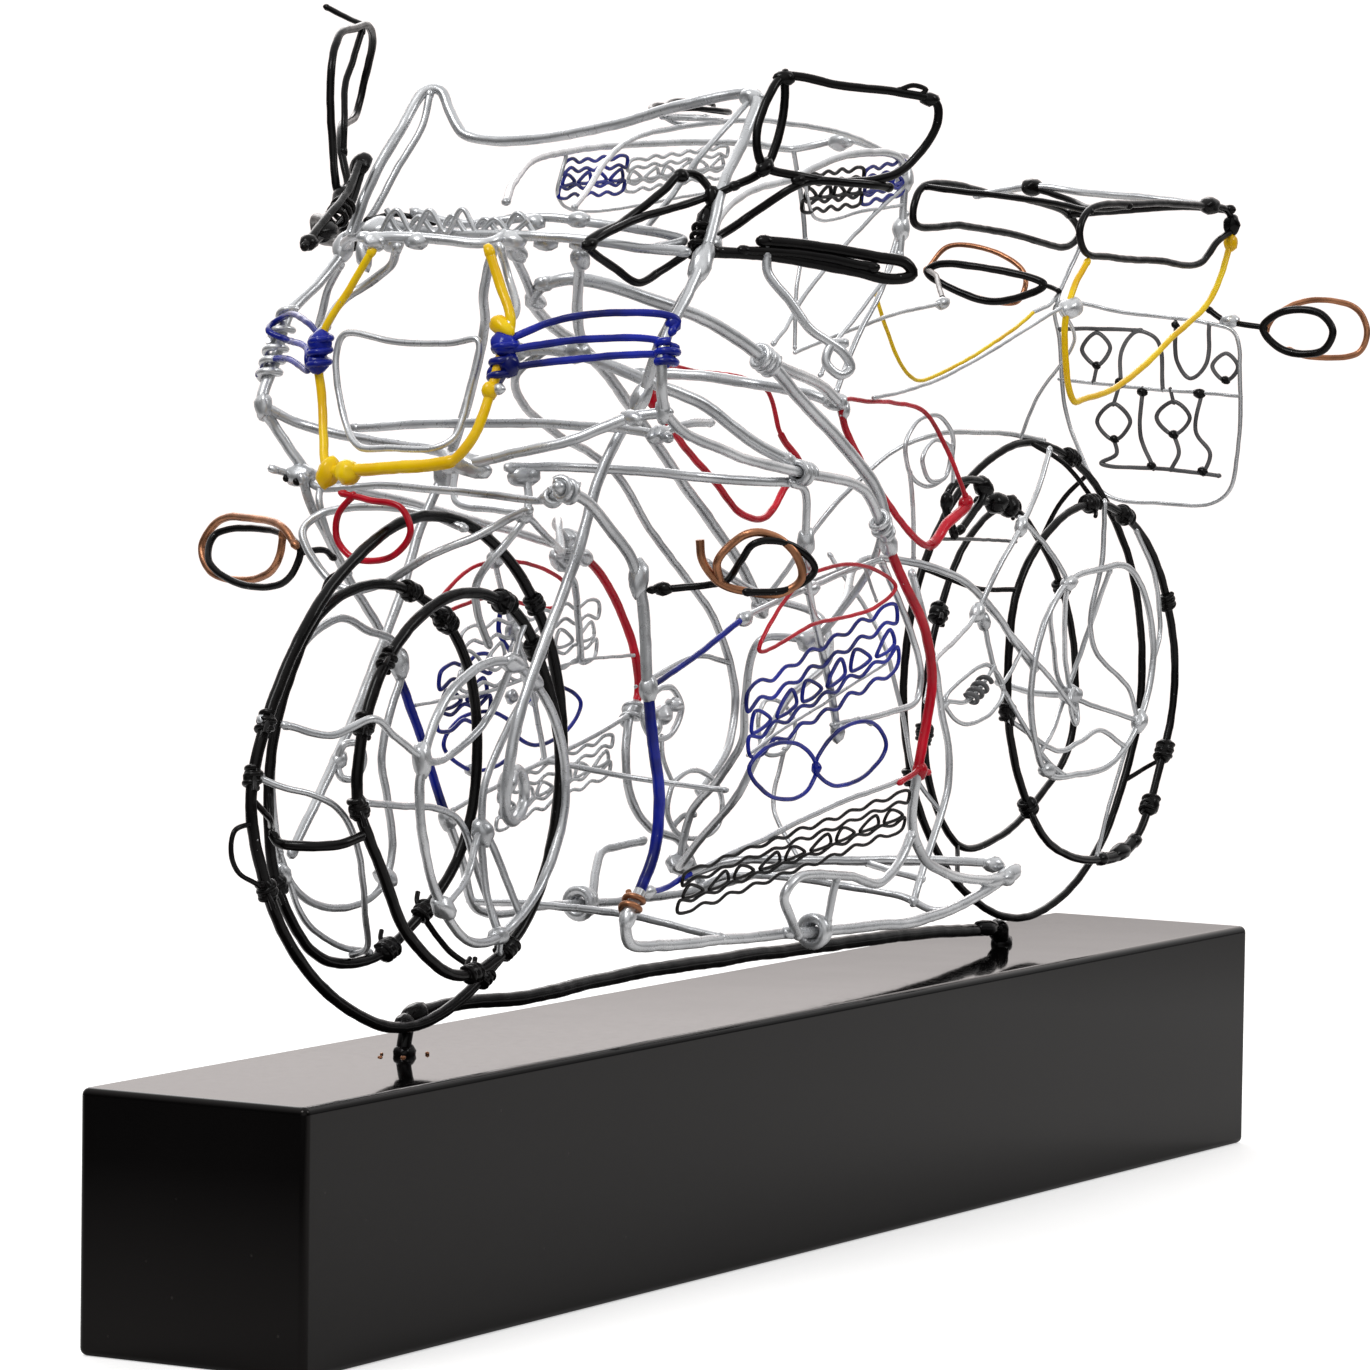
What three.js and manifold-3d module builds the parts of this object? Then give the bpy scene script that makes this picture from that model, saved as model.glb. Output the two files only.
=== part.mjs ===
// A wire sculpture: a faired racing motorcycle bent, tied and soldered from painted wire.
// It stands on a long glossy plinth. Millimetres, +Z up, +X towards the tail, -Y is its left side.
// The origin is at the middle of the plinth's underside.

import * as THREE from 'three';
import { RoundedBoxGeometry } from 'three/addons/geometries/RoundedBoxGeometry.js';
import { mergeVertices } from 'three/addons/utils/BufferGeometryUtils.js';
import Module from 'manifold-3d';

const wasm = await Module();
wasm.setup();

// Driving dimensions
const PLINTH = { length: 394, width: 50, height: 50, edge: 1.8 };
const FRONT_AXLE = [-120.75, 0, 103.3];
const REAR_AXLE = [143.5, 0, 109];
const FRONT_TURN = -2.5;
const SIDE_RING_FRONT = 9.8;
const SIDE_RING_REAR = 11.2;
const GAP = 0.42;
const BEND_MISS = 1.1;

// Wire gauges: the radius, and the section's sides and corner radius for the same cross-section
const HEAVY = { radius: 1.5, sides: 4, corner: 1.14 };
const MAIN = { radius: 1.25, sides: 4, corner: 1.14 };
const LIGHT = { radius: 1, sides: 3, corner: 1.36 };
const FINE = { radius: 0.75, sides: 3, corner: 1.36 };

// Joints that several wires share
const LEFT_CLAMP = [-90, -44, 204.5];
const RIGHT_CLAMP = [-80, 44, 204.5];
const HEAD = [-77.5, 2, 195];
const SEAT_NOSE = [5.5, -21, 173.5];
const LEFT_KNEE = [2.5, -35, 144.5];
const RIGHT_KNEE = [-1.5, 35, 140];

// Paints
const SILVER = { color: 0xa9abae, roughness: 0.34, metalness: 0.85 };
const BLACK = { color: 0x16171a, roughness: 0.32, metalness: 0.1 };
const RED = { color: 0xb3161c, roughness: 0.35, metalness: 0.1 };
const BLUE = { color: 0x1d2f6b, roughness: 0.35, metalness: 0.2 };
const YELLOW = { color: 0xe3c21c, roughness: 0.38, metalness: 0.05 };
const GLOSS_BLACK = { color: 0x1b1a1a, roughness: 0.12, metalness: 0 };

const model = new THREE.Group();
model.name = 'wire_motorcycle_sculpture';

// Wire routes
// Keeps only the points that a straight run of wire would miss by more than the allowed amount.
function thinned(points) {
  const first = points[0];
  const last = points[points.length - 1];
  const chord = new THREE.Line3(first, last);
  const foot = new THREE.Vector3();
  let worst = 0;
  let at = 0;
  for (let i = 1; i < points.length - 1; i += 1) {
    const miss = chord.closestPointToPoint(points[i], true, foot).distanceTo(points[i]);
    if (miss > worst) {
      worst = miss;
      at = i;
    }
  }
  if (worst < BEND_MISS) return [first, last];
  return [...thinned(points.slice(0, at + 1)), ...thinned(points.slice(at)).slice(1)];
}

// Merges bends that lie closer together than the wire is thick.
function spaced(points, least) {
  const kept = [points[0]];
  for (let i = 1; i < points.length - 1; i += 1) {
    const clear = points[i].distanceTo(kept[kept.length - 1]) > least;
    const clearOfEnd = points[i].distanceTo(points[points.length - 1]) > least;
    if (clear && clearOfEnd) kept.push(points[i]);
  }
  kept.push(points[points.length - 1]);
  return kept;
}

// A hand-bent wire's centre line: a soft curve through its bends, in straight steps.
class BentLine extends THREE.Curve {
  constructor(bends, looped, radius, reach) {
    super();
    this.looped = looped;
    const knots = bends.map(([x, y, z]) => new THREE.Vector3(x, y, z));
    const soft = new THREE.CatmullRomCurve3(knots, looped, 'centripetal');
    const fine = soft.getPoints(knots.length * 8);
    const half = Math.floor(fine.length / 2);
    const few = looped
      ? [...thinned(fine.slice(0, half + 1)), ...thinned(fine.slice(half)).slice(1)]
      : thinned(fine);
    this.nodes = spaced(few, radius * 1.3);
    if (!looped) this.lengthen(reach);
  }

  lengthen(reach) {
    const n = this.nodes.length - 1;
    this.nodes[0] = this.nodes[0].clone().addScaledVector(this.getTangentAt(0), -reach);
    this.nodes[n] = this.nodes[n].clone().addScaledVector(this.getTangentAt(1), reach);
  }

  getPoint(t, target = new THREE.Vector3()) {
    const n = this.nodes.length - 1;
    const i = Math.min(Math.floor(t * n + 1e-6), n - 1);
    return target.lerpVectors(this.nodes[i], this.nodes[i + 1], t * n - i);
  }

  getPointAt(u, target) {
    return this.getPoint(u, target);
  }

  getTangentAt(u, target = new THREE.Vector3()) {
    const n = this.nodes.length - 1;
    const i = Math.round(u * n);
    const atEnd = i === 0 || i === n;
    const before = this.looped && atEnd ? n - 1 : Math.max(i - 1, 0);
    const after = this.looped && atEnd ? 1 : Math.min(i + 1, n);
    const into = this.nodes[i].clone().sub(this.nodes[before]).normalize();
    const out = this.nodes[after].clone().sub(this.nodes[i]).normalize();
    return target.addVectors(into, out).normalize();
  }
}

// Solids
function solidOf(geometry) {
  geometry.deleteAttribute('normal');
  geometry.deleteAttribute('uv');
  const merged = mergeVertices(geometry, 1e-4);
  const vertProperties = new Float32Array(merged.attributes.position.array);
  const triVerts = new Uint32Array(merged.index.array);
  return new wasm.Manifold(new wasm.Mesh({ numProp: 3, vertProperties, triVerts }));
}

function wireSolid(member, grow) {
  const { bends, gauge, looped } = member;
  const path = new BentLine(bends, looped, gauge.radius, grow);
  const steps = path.nodes.length - 1;
  const round = (gauge.radius + grow) * gauge.corner;
  const { sides } = gauge;
  if (looped) return solidOf(new THREE.TubeGeometry(path, steps, round, sides, true));
  const section = new THREE.Shape();
  for (let i = 0; i < sides; i += 1) {
    const turn = (i / sides) * Math.PI * 2;
    const place = [Math.cos(turn) * round, Math.sin(turn) * round];
    if (i === 0) section.moveTo(...place);
    else section.lineTo(...place);
  }
  section.closePath();
  const settings = { steps, extrudePath: path, bevelEnabled: false };
  return solidOf(new THREE.ExtrudeGeometry(section, settings));
}

function dropSolid(member, grow) {
  const { at, radius, stretch } = member;
  const ball = new THREE.OctahedronGeometry(1.15);
  const size = stretch.map((s) => radius * s + grow);
  ball.scale(...size);
  ball.translate(...at);
  return solidOf(ball);
}

function memberSolid(member, grow = 0) {
  return member.bends ? wireSolid(member, grow) : dropSolid(member, grow);
}

// Members: an open wire, a closed loop, and a drop of solder or a knot of fine wire
function wire(gauge, ...bends) {
  return { bends, gauge, looped: false };
}

function loop(gauge, ...bends) {
  return { bends, gauge, looped: true };
}

function drop(radius, at, stretch = [1, 1, 1]) {
  return { at, radius, stretch };
}

const laid = [];

function meet(a, b) {
  return a.min.every((low, i) => low <= b.max[i]) && b.min.every((low, i) => low <= a.max[i]);
}

// Joins a piece's members, keeps it clear of the pieces laid before it and adds it to the model.
function piece(name, paint, members) {
  let solid = memberSolid(members[0]);
  for (const member of members.slice(1)) solid = solid.add(memberSolid(member));
  const room = solid.boundingBox();
  for (const member of laid) {
    const halo = memberSolid(member, GAP);
    if (meet(room, halo.boundingBox())) solid = solid.subtract(halo);
  }
  laid.push(...members);
  const mesh = solid.getMesh();
  const geometry = new THREE.BufferGeometry();
  geometry.setAttribute('position', new THREE.BufferAttribute(mesh.vertProperties, 3));
  geometry.setIndex(new THREE.BufferAttribute(mesh.triVerts, 1));
  geometry.computeVertexNormals();
  addMesh(name, geometry, paint);
}

function addMesh(name, geometry, paint) {
  const mesh = new THREE.Mesh(geometry, new THREE.MeshStandardMaterial(paint));
  mesh.name = name;
  model.add(mesh);
}

// Plinth: a long block with softened edges and two blind holes for the stand's stems
const STEM_HOLES = [[-120.2, 2.7], [128.2, 2.7]];
const STEM_DEPTH = 8;
const STEM_HOLE = 2.6;
const { length, width, height, edge } = PLINTH;
const block = new RoundedBoxGeometry(length, width, height, 2, edge);
block.translate(0, 0, height / 2);
let plinthSolid = solidOf(block);
for (const [x, y] of STEM_HOLES) {
  const hole = new THREE.CylinderGeometry(STEM_HOLE, STEM_HOLE, STEM_DEPTH * 2, 12);
  hole.rotateX(Math.PI / 2);
  hole.translate(x, y, height);
  plinthSolid = plinthSolid.subtract(solidOf(hole));
}
const plinthMesh = plinthSolid.getMesh();
const plinthGeometry = new THREE.BufferGeometry();
plinthGeometry.setAttribute('position', new THREE.BufferAttribute(plinthMesh.vertProperties, 3));
plinthGeometry.setIndex(new THREE.BufferAttribute(plinthMesh.triVerts, 1));
plinthGeometry.computeVertexNormals();
addMesh('plinth', plinthGeometry, GLOSS_BLACK);

// Stand wire: a stem into the plinth at each end and a straight run between the wheels' feet
const [frontHole, rearHole] = STEM_HOLES;
const stemFoot = height - STEM_DEPTH + 0.6;
piece('stand_wire', BLACK, [
  wire(HEAVY, [...frontHole, stemFoot], [...frontHole, 52.5], [-117.5, 2.8, 56.5], [-107.5, 2.6, 58],
    [-94.7, 1.6, 58], [-81.8, 0, 57.5], [-43, 0, 58.5], [31, 0, 57.5], [75, 0, 56.5],
    [105, 1.5, 55], [122, 2.7, 53.8], [126.5, 2.7, 53], [...rearHole, 50.5], [...rearHole, stemFoot]),
]);

// Wheels: three hand-bent rings each, one in the middle and one on each side
function ringBends(axle, offset, turnDegrees, radii) {
  const turn = THREE.MathUtils.degToRad(turnDegrees);
  return radii.map((radius, i) => {
    const round = (i / radii.length) * Math.PI * 2;
    const along = Math.cos(round) * radius;
    return [
      axle[0] + along * Math.cos(turn) - offset * Math.sin(turn),
      axle[1] + along * Math.sin(turn) + offset * Math.cos(turn),
      axle[2] + Math.sin(round) * radius,
    ];
  });
}

const frontTread = ringBends(FRONT_AXLE, 0, -4,
  [48, 49.5, 50.5, 50.5, 47.5, 48, 52, 49.5, 47.5, 47.5, 45.5, 47.5]);
const frontLeftWall = ringBends(FRONT_AXLE, -SIDE_RING_FRONT, FRONT_TURN,
  [34.5, 34.5, 36.5, 36, 35, 34.5, 34, 30, 32.5, 37, 37, 35.5]);
const frontRightWall = ringBends(FRONT_AXLE, SIDE_RING_FRONT, FRONT_TURN,
  [34.5, 36.5, 37, 37, 37.5, 35, 35, 37, 38, 35, 32, 33.5]);

function tie(gauge, from, to) {
  return wire(gauge, from, to);
}

piece('front_tyre', BLACK, [
  loop(MAIN, ...frontTread),
  loop(MAIN, ...frontLeftWall),
  loop(MAIN, ...frontRightWall),
  ...[6, 1].map((i) => tie(LIGHT, frontTread[i], frontLeftWall[i])),
  ...[4, 10].map((i) => tie(LIGHT, frontTread[i], frontRightWall[i])),
]);

const rearTread = ringBends([132.5, 0, 109], 0, -3,
  [52.5, 52, 51.5, 52.5, 52, 52.5, 52.5, 52, 52, 53.5, 53, 52]);
const rearLeftWall = ringBends(REAR_AXLE, -SIDE_RING_REAR, 0,
  [41.5, 39.5, 38.5, 39, 40.5, 43, 41.5, 40.5, 40.5, 40.5, 44, 41]);
const rearRightWall = ringBends(REAR_AXLE, SIDE_RING_REAR, 0,
  [35.5, 33, 33.5, 37.5, 36, 34.5, 37, 41, 42.5, 36.5, 34, 37.5]);

piece('rear_tyre', BLACK, [
  loop(MAIN, ...rearTread),
  loop(MAIN, ...rearLeftWall),
  loop(MAIN, ...rearRightWall),
  ...[5, 11].map((i) => tie(LIGHT, rearTread[i], rearLeftWall[i])),
  ...[2, 8].map((i) => tie(LIGHT, rearTread[i], rearRightWall[i])),
]);

// Screen and nose: one long wire up the left side, over the screen and down the right side
piece('screen_frame', SILVER, [
  wire(MAIN, [-104.5, -44, 174.5], [-107.5, -45, 180], [-106.5, -45, 187.5], [-96.5, -44.5, 197.5],
    LEFT_CLAMP, [-79, -42, 218.5], [-68, -40, 227.5], [-61, -38, 235], [-62, -22, 233],
    [-62, -6, 229], [-61, 8, 226.5], [-60.5, 24, 226], [-60.5, 31, 230], [-59.5, 38, 236],
    [-66.5, 40, 227.5], [-74.5, 42, 216.5], RIGHT_CLAMP, [-88.5, 44.5, 197.5], [-99, 45, 191],
    [-103.5, 45, 182], [-108.5, 44.5, 173.5], [-106.5, 43, 169.5], [-104.5, 37, 160.5]),
  wire(FINE, [-61, -38, 235], [-66.5, -36, 230], [-75, -34, 223], [-83, -32, 215], [-88, -34, 209]),
  wire(LIGHT, [-59.5, 37.5, 235], [-62, 37.5, 229], [-68, 39.5, 220], [-74, 41.5, 211], RIGHT_CLAMP),
]);

// Left fairing: the front edge and belly pipe in one run, then the rear edge
piece('fairing_left_front_wire', SILVER, [
  wire(MAIN, [-117.5, -29, 160], [-109, -29.5, 157.5], [-100.5, -30, 151.5], [-93, -30.5, 145.5],
    [-89.5, -31, 137.5], [-87, -31, 120.5], [-85, -31, 110.5], [-81, -30.5, 98.5],
    [-81.5, -30, 88.5], [-86.5, -29.5, 81], [-91, -29, 76], [-90, -29, 71.5], [-77.5, -29, 69.5],
    [-53, -28.5, 68.5], [-19.5, -28, 67], [6, -28, 66], [34, -27, 65], [53.5, -26, 66.5],
    [78, -25, 71]),
]);

piece('fairing_left_rear_wire', RED, [
  wire(MAIN, [-104.5, -44, 174.5], [-95, -43, 170.5], [-70, -41, 165], [-42, -39, 161],
    [-11.5, -37, 156.5], [-3, -36, 149.5], LEFT_KNEE, [10, -35, 136.5], [20, -34.5, 127],
    [24.5, -34, 116], [23.5, -33.5, 108], [20.5, -33, 97.5], [22, -31, 87], [28.5, -30, 79.5],
    [42.5, -28, 74.5], [64.5, -26, 71], [78, -25, 71]),
]);

// Right fairing
piece('fairing_right_front_wire', SILVER, [
  wire(MAIN, [-107, 36, 159], [-105, 35, 153.5], [-100, 34, 147], [-94, 33, 139], [-84, 32, 128.5],
    [-76, 30.5, 114.5], [-68.5, 30, 101], [-62, 30, 90], [-57.5, 29, 81], [-54.5, 28.2, 72],
    [-48, 28, 69.6], [-24.5, 28, 69.5], [3.5, 28, 68], [35.5, 27, 68], [77.5, 26, 70.5],
    [109, 26, 68.5], [133.5, 25, 66.5]),
]);

piece('fairing_right_rear_wire', RED, [
  wire(MAIN, [-104, 38, 161], [-90.5, 38, 157.5], [-62, 37, 152.5], [-25, 36, 145.5], RIGHT_KNEE,
    [7.5, 35, 134.5], [15, 34.5, 126], [19, 34, 117.5], [20, 34, 110], [15, 33, 104],
    [12, 32, 97], [13, 31, 88.5], [19, 30, 82], [28.5, 28, 78.5], [36, 27.5, 70]),
]);

// Lamp: a heart-shaped yellow frame hung in the nose, with a fine silver rim inside it
piece('lamp_frame', YELLOW, [
  wire(MAIN, [-118, 13.5, 204], [-119, 18, 196.5], [-121, 22, 189], [-121, 23.5, 183],
    [-122, 22, 175.5], [-125, 19.5, 168], [-128, 16.5, 162.5], [-129.5, 10, 162.5],
    [-130, -1, 163.5], [-130, -12, 164.5], [-128, -16.5, 170], [-124.5, -18, 179],
    [-122, -18.5, 186], [-121, -19.5, 191], [-119, -16, 198], [-118, -13, 204.5]),
  drop(2.3, [-128.5, 15.8, 161.8]),
  drop(2.4, [-129.5, 10.5, 162]),
  drop(3, [-121.5, 23, 185]),
  drop(3, [-122, -18.5, 185]),
]);

piece('dash_bars', SILVER, [
  wire(MAIN, [-118, 15, 206.8], [-114, 8, 206.8], [-111, -8, 206], [-106, -9, 207.5]),
  wire(MAIN, [-100, 22, 209.5], [-102.5, 10, 207.8], [-106, -8, 207.5], [-104.5, -25, 207],
    [-99, -35, 205.5], [-93, -41, 205]),
  wire(LIGHT, [-101.5, 14, 211.5], [-102, 4, 209.5], [-99, -12, 211], [-95.5, -24, 210],
    [-91, -33, 208.5], [-88, -38, 207], [-96, -37, 205.5]),
  drop(3, [-101, 22, 208.5], [1, 1.1, 0.9]),
  wire(LIGHT, [-101, 22, 208], [-98, 30, 206.5], [-88, 39, 205], [-82, 42.5, 204.5]),
]);

piece('fork_left', SILVER, [
  wire(MAIN, [-88.5, -43, 201.5], [-89.5, -39, 195.5], [-87.5, -33, 187], [-84.5, -27, 176],
    [-88, -24, 168.5], [-91.5, -22, 161], [-99, -21.5, 145.5], [-109, -21, 130.5],
    [-116.5, -20, 117], [-119, -19, 103.5], [-117, -17.6, 98], [-111.5, -16, 95.5],
    [-106.3, -15, 98.5], [-106.5, -15, 103], [-111, -16, 105.5], [-115.3, -17, 103.5]),
]);

piece('fork_right', SILVER, [
  wire(MAIN, [-88, 4, 206], [-82.5, 10, 195.5], [-78.5, 12, 190], [-77.5, 14, 183],
    [-78.5, 18, 168.5], [-80, 21, 159], [-86, 22, 149], [-94.5, 21.5, 135.5],
    [-104.5, 21, 122.5], [-116.5, 20, 108.5], [-125, 19, 99.5], [-132.5, 18, 90.5]),
  loop(LIGHT, [-119, 19.3, 105], [-119.5, 17.5, 109], [-116.5, 16, 109], [-115.5, 15.5, 105.5],
    [-117, 16.5, 102.5], [-119.5, 18, 102.5]),
]);

piece('nose_rim', SILVER, [
  wire(MAIN, [-104.5, -44, 174.5], [-107, -38, 173.5], [-112.5, -28, 169], [-114.5, -16, 166],
    [-114, -8, 164], [-109, 0, 163], [-104.5, 6, 165.5], [-103, 16, 166.5], [-103, 30, 168],
    [-104, 39, 170], [-108, 44, 173]),
]);

piece('nose_cross_bar', SILVER, [
  wire(MAIN, [-86, 37, 168.5], [-87.5, 12, 170.5], [-89.5, -12, 171], [-96.5, -34, 170.5],
    [-98, -41, 169.5]),
  wire(LIGHT, [-97, -38, 169.8], [-89, -39, 171.5], [-73, -36, 171.5]),
]);

piece('chin_bar', SILVER, [
  wire(LIGHT, [-108, 42, 161], [-104.5, 38, 159.5], [-105.5, 33, 157.5], [-104, 20, 158.5],
    [-104.5, 6, 158], [-105.5, -6, 157.5], [-106.5, -18, 157], [-112, -24.5, 158.5], [-117, -28, 161]),
  wire(LIGHT, [-105.5, 33, 157.5], [-107, 32, 154.5], [-104.5, 31, 147.5], [-99.5, 30, 141]),
]);

piece('chin_loop', SILVER, [
  wire(LIGHT, [-107.5, -16, 155], [-107, -12, 153.5], [-109, -6, 150], [-114, 2, 146],
    [-116, 12, 140], [-120.5, 16, 139], [-120, 22, 141.5], [-119, 28, 149.5], [-116, 26, 153],
    [-113.5, 14, 155], [-111.5, 4, 154]),
]);

piece('lamp_inner_rim', SILVER, [
  loop(LIGHT, [-122, -13, 187.5], [-122, -7, 187], [-122, 4.5, 187], [-122, 17, 188],
    [-122.5, 18.5, 184], [-125, 15, 172.5], [-128, 9.5, 167], [-129, 2, 167],
    [-129, -8, 167.3], [-127, -11.5, 169.5], [-124, -12.5, 178]),
]);

piece('number_oval', RED, [
  wire(LIGHT, [-131, 11, 158], [-131, 4.5, 156.8], [-131, -1.5, 155.8], [-131, -4, 151.5],
    [-131, -1.5, 147.5], [-131, 3, 145.5], [-131, 9, 146], [-131, 12.3, 149.5], [-131, 12, 154],
    [-131, 9, 157.5]),
]);

// Straps: one folded wire each side runs three times between the lamp frame and the nose upright
piece('strap_left', BLUE, [
  wire(LIGHT, [-120.5, -20.8, 189], [-115.7, -27, 191.6], [-110, -37, 193.5], [-105.3, -44.2, 193],
    [-107.6, -43, 190.5], [-106.5, -42, 187.5], [-113, -33, 187.8], [-121.3, -23.5, 185.8],
    [-123.5, -23, 183.3], [-122.5, -23, 180.5], [-114, -33, 183.5], [-107.2, -43, 183.2]),
]);

piece('strap_right', BLUE, [
  wire(LIGHT, [-121, 24.5, 188], [-117, 28.5, 190], [-109, 37, 191.5], [-102.5, 43.8, 190.8],
    [-104.5, 43, 188.5], [-104.5, 42, 186.5], [-111, 36, 186.3], [-119, 27.5, 185],
    [-122, 26, 183], [-121, 26, 181.5], [-112, 36, 182.8], [-105.2, 43.2, 182]),
]);

// Handlebar ends: a folded black wire for each grip and a thin silver lever below it
function grip(side, clamp, lean) {
  const at = (x, y, z) => [clamp[0] + x, clamp[1] + side * y, clamp[2] + z + lean * y];
  return [
    wire(HEAVY, at(4, 1, 0), at(11, 6, -0.5), at(20.5, 16, -1), at(29.5, 25, -1.5),
      at(32.5, 28, -0.5), at(30.5, 27, 2), at(22, 18, 2.2), at(14, 10.5, 2.6), at(9, 6, 3)),
  ];
}

function lever(side, clamp) {
  const at = (x, y, z) => [clamp[0] + x, clamp[1] + side * y, clamp[2] + z];
  return [
    wire(LIGHT, at(10.5, 8, -4), at(12.5, 12, -9), at(15, 15, -14), at(20, 19.5, -18.5),
      at(21.5, 20.5, -21.5), at(19, 19.5, -23), at(17, 17.5, -20.5), at(13.5, 14, -14.5),
      at(11, 11, -9.5)),
  ];
}

piece('grip_left', BLACK, grip(-1, LEFT_CLAMP, -0.1));
piece('grip_right', BLACK, grip(1, RIGHT_CLAMP, 0.1));
piece('lever_left', SILVER, lever(-1, LEFT_CLAMP));
piece('lever_right', SILVER, lever(1, RIGHT_CLAMP));

// Mirrors: a leaf-shaped bracket and a rounded frame swept back from it
piece('mirror_left', BLACK, [
  loop(MAIN, [-70.5, -50, 238.5], [-63, -58, 237], [-53.5, -66, 236], [-47.5, -71, 234],
    [-47, -70.5, 229], [-51, -65, 220.5], [-60, -59, 218.5], [-71, -54, 219.5],
    [-76.5, -49, 221.5], [-78.5, -48.5, 227], [-74.5, -49, 235]),
  wire(MAIN, [-70.5, -50, 238.5], [-70.5, -49, 230], [-74, -48.5, 222]),
  wire(MAIN, [-76.5, -49, 221.5], [-81, -46.5, 217.5]),
]);

piece('mirror_bracket_left', BLACK, [
  wire(MAIN, [-84, -40, 216.5], [-101, -36, 211], [-114, -33.5, 206.3]),
  loop(MAIN, [-114, -33.5, 206.3], [-103, -34.5, 211], [-93.5, -37, 216.5], [-84.5, -39.5, 218],
    [-83.5, -41, 212], [-87, -39.5, 206.8], [-95, -37, 202], [-104, -34.5, 200.5]),
]);

piece('mirror_right', BLACK, [
  loop(MAIN, [-81.5, 45, 215.5], [-80.5, 47, 225.5], [-80, 48, 234], [-78, 49, 241.5],
    [-72, 51, 246.5], [-62, 54, 248], [-50.5, 58, 248.5], [-43, 62, 245.5], [-39.5, 66, 238],
    [-42, 66, 231.5], [-51.5, 62, 229.3], [-65, 55, 228], [-71, 51, 223.5], [-75.5, 46.5, 216]),
  wire(LIGHT, [-56, 56, 247.5], [-61, 55, 241.5], [-65.5, 54, 236.5], [-70, 51, 229],
    [-71.5, 50, 223]),
  wire(LIGHT, [-46, 71, 252.5], [-47, 66, 250.5], [-49.5, 59, 248.5]),
  wire(MAIN, [-76, 42.5, 220.5], [-84.5, 40, 212.5], [-91.5, 38, 208.8], [-104, 35, 206],
    [-111.5, 33, 204.5], [-103, 35, 208.8], [-89.5, 38, 214.5], [-78, 42, 221.5]),
  wire(LIGHT, [-85, 40, 213], [-82.5, 43, 214], [-79.5, 46, 215.2]),
]);

// Head and main frame
piece('frame_head_spar', SILVER, [
  wire(HEAVY, [-79.5, -2, 198], [-78, -8, 199], [-65.5, -20, 194.5], [-52.5, -25, 190],
    [-37, -28, 183], [-24.5, -29, 175], [-7, -31, 163.5], [0.5, -33, 156], [3.5, -33.5, 149.5]),
  wire(HEAVY, [-79.5, -2, 198], HEAD, [-67.5, 5, 190.5], [-49, 8, 185], [-37.5, 10, 180.5],
    [-11.5, 16, 169.5], [12.5, 20, 156], [28.5, 22, 147], [45.5, 24, 137], [57, 25, 126.5]),
  wire(LIGHT, [-91, -2, 204], [-83.5, 0, 199], HEAD),
  wire(MAIN, [-37, -28, 183], [-17.5, -25, 179.5], [-1.5, -22, 176.5], SEAT_NOSE, [6.5, -14, 175],
    [10.5, 0, 176.5], [6, 12, 178], [2, 24, 178.5]),
]);

piece('frame_lower_spar', SILVER, [
  wire(HEAVY, [-82.5, 4, 184.5], [-80.5, -4, 185], [-77, -11, 183.5], [-73, -20, 180],
    [-63, -28, 175], [-53.5, -34, 167.5], [-43, -37.3, 163]),
  wire(LIGHT, [-98, -21, 203.5], [-90, -16, 198], [-83.5, -12, 191], [-77.5, -10, 184.5]),
  wire(LIGHT, [-80, -3, 185], [-79, 4, 180.5], [-63.5, 12, 173.5], [-39.5, 18, 166.5],
    [-21, 22, 162.5], [-13.5, 20, 158], [3.5, 22, 146], [24, 24, 134], [36.5, 25, 125.5],
    [43.5, 25, 115.5], [46, 25, 107], [41.5, 24, 98.5], [26, 22, 90]),
]);

piece('frame_mid_bar', SILVER, [
  wire(MAIN, [-94, -4, 162.5], [-86, -10, 162.5], [-75, -17, 162], [-62.5, -28, 160.5],
    [-49.5, -34, 159.5], [-41, -37.3, 159]),
  wire(LIGHT, [-90.5, -5.5, 161.5], [-97, -9, 153.5], [-103, -2, 141], [-99.5, 0, 134],
    [-94, 1, 128]),
  wire(LIGHT, [-80, 17.5, 163], [-87, 13, 155], [-92, 0, 154], [-97, -9, 153.5], [-86.5, -8, 148.5],
    [-61.5, 4, 144.5]),
]);

// Script strokes: generic rows of handwriting-like waves that spell nothing
function scribble(from, to, tall, waves) {
  const bends = [from];
  const count = waves * 2;
  for (let i = 1; i < count; i += 1) {
    const up = i % 2 === 0 ? tall * 0.3 : tall * (i % 4 === 1 ? 1 : 0.8);
    bends.push(from.map((v, k) => v + (to[k] - v) * (i / count) + (k === 2 ? up : 0)));
  }
  bends.push(to);
  return wire(FINE, ...bends);
}

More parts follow.
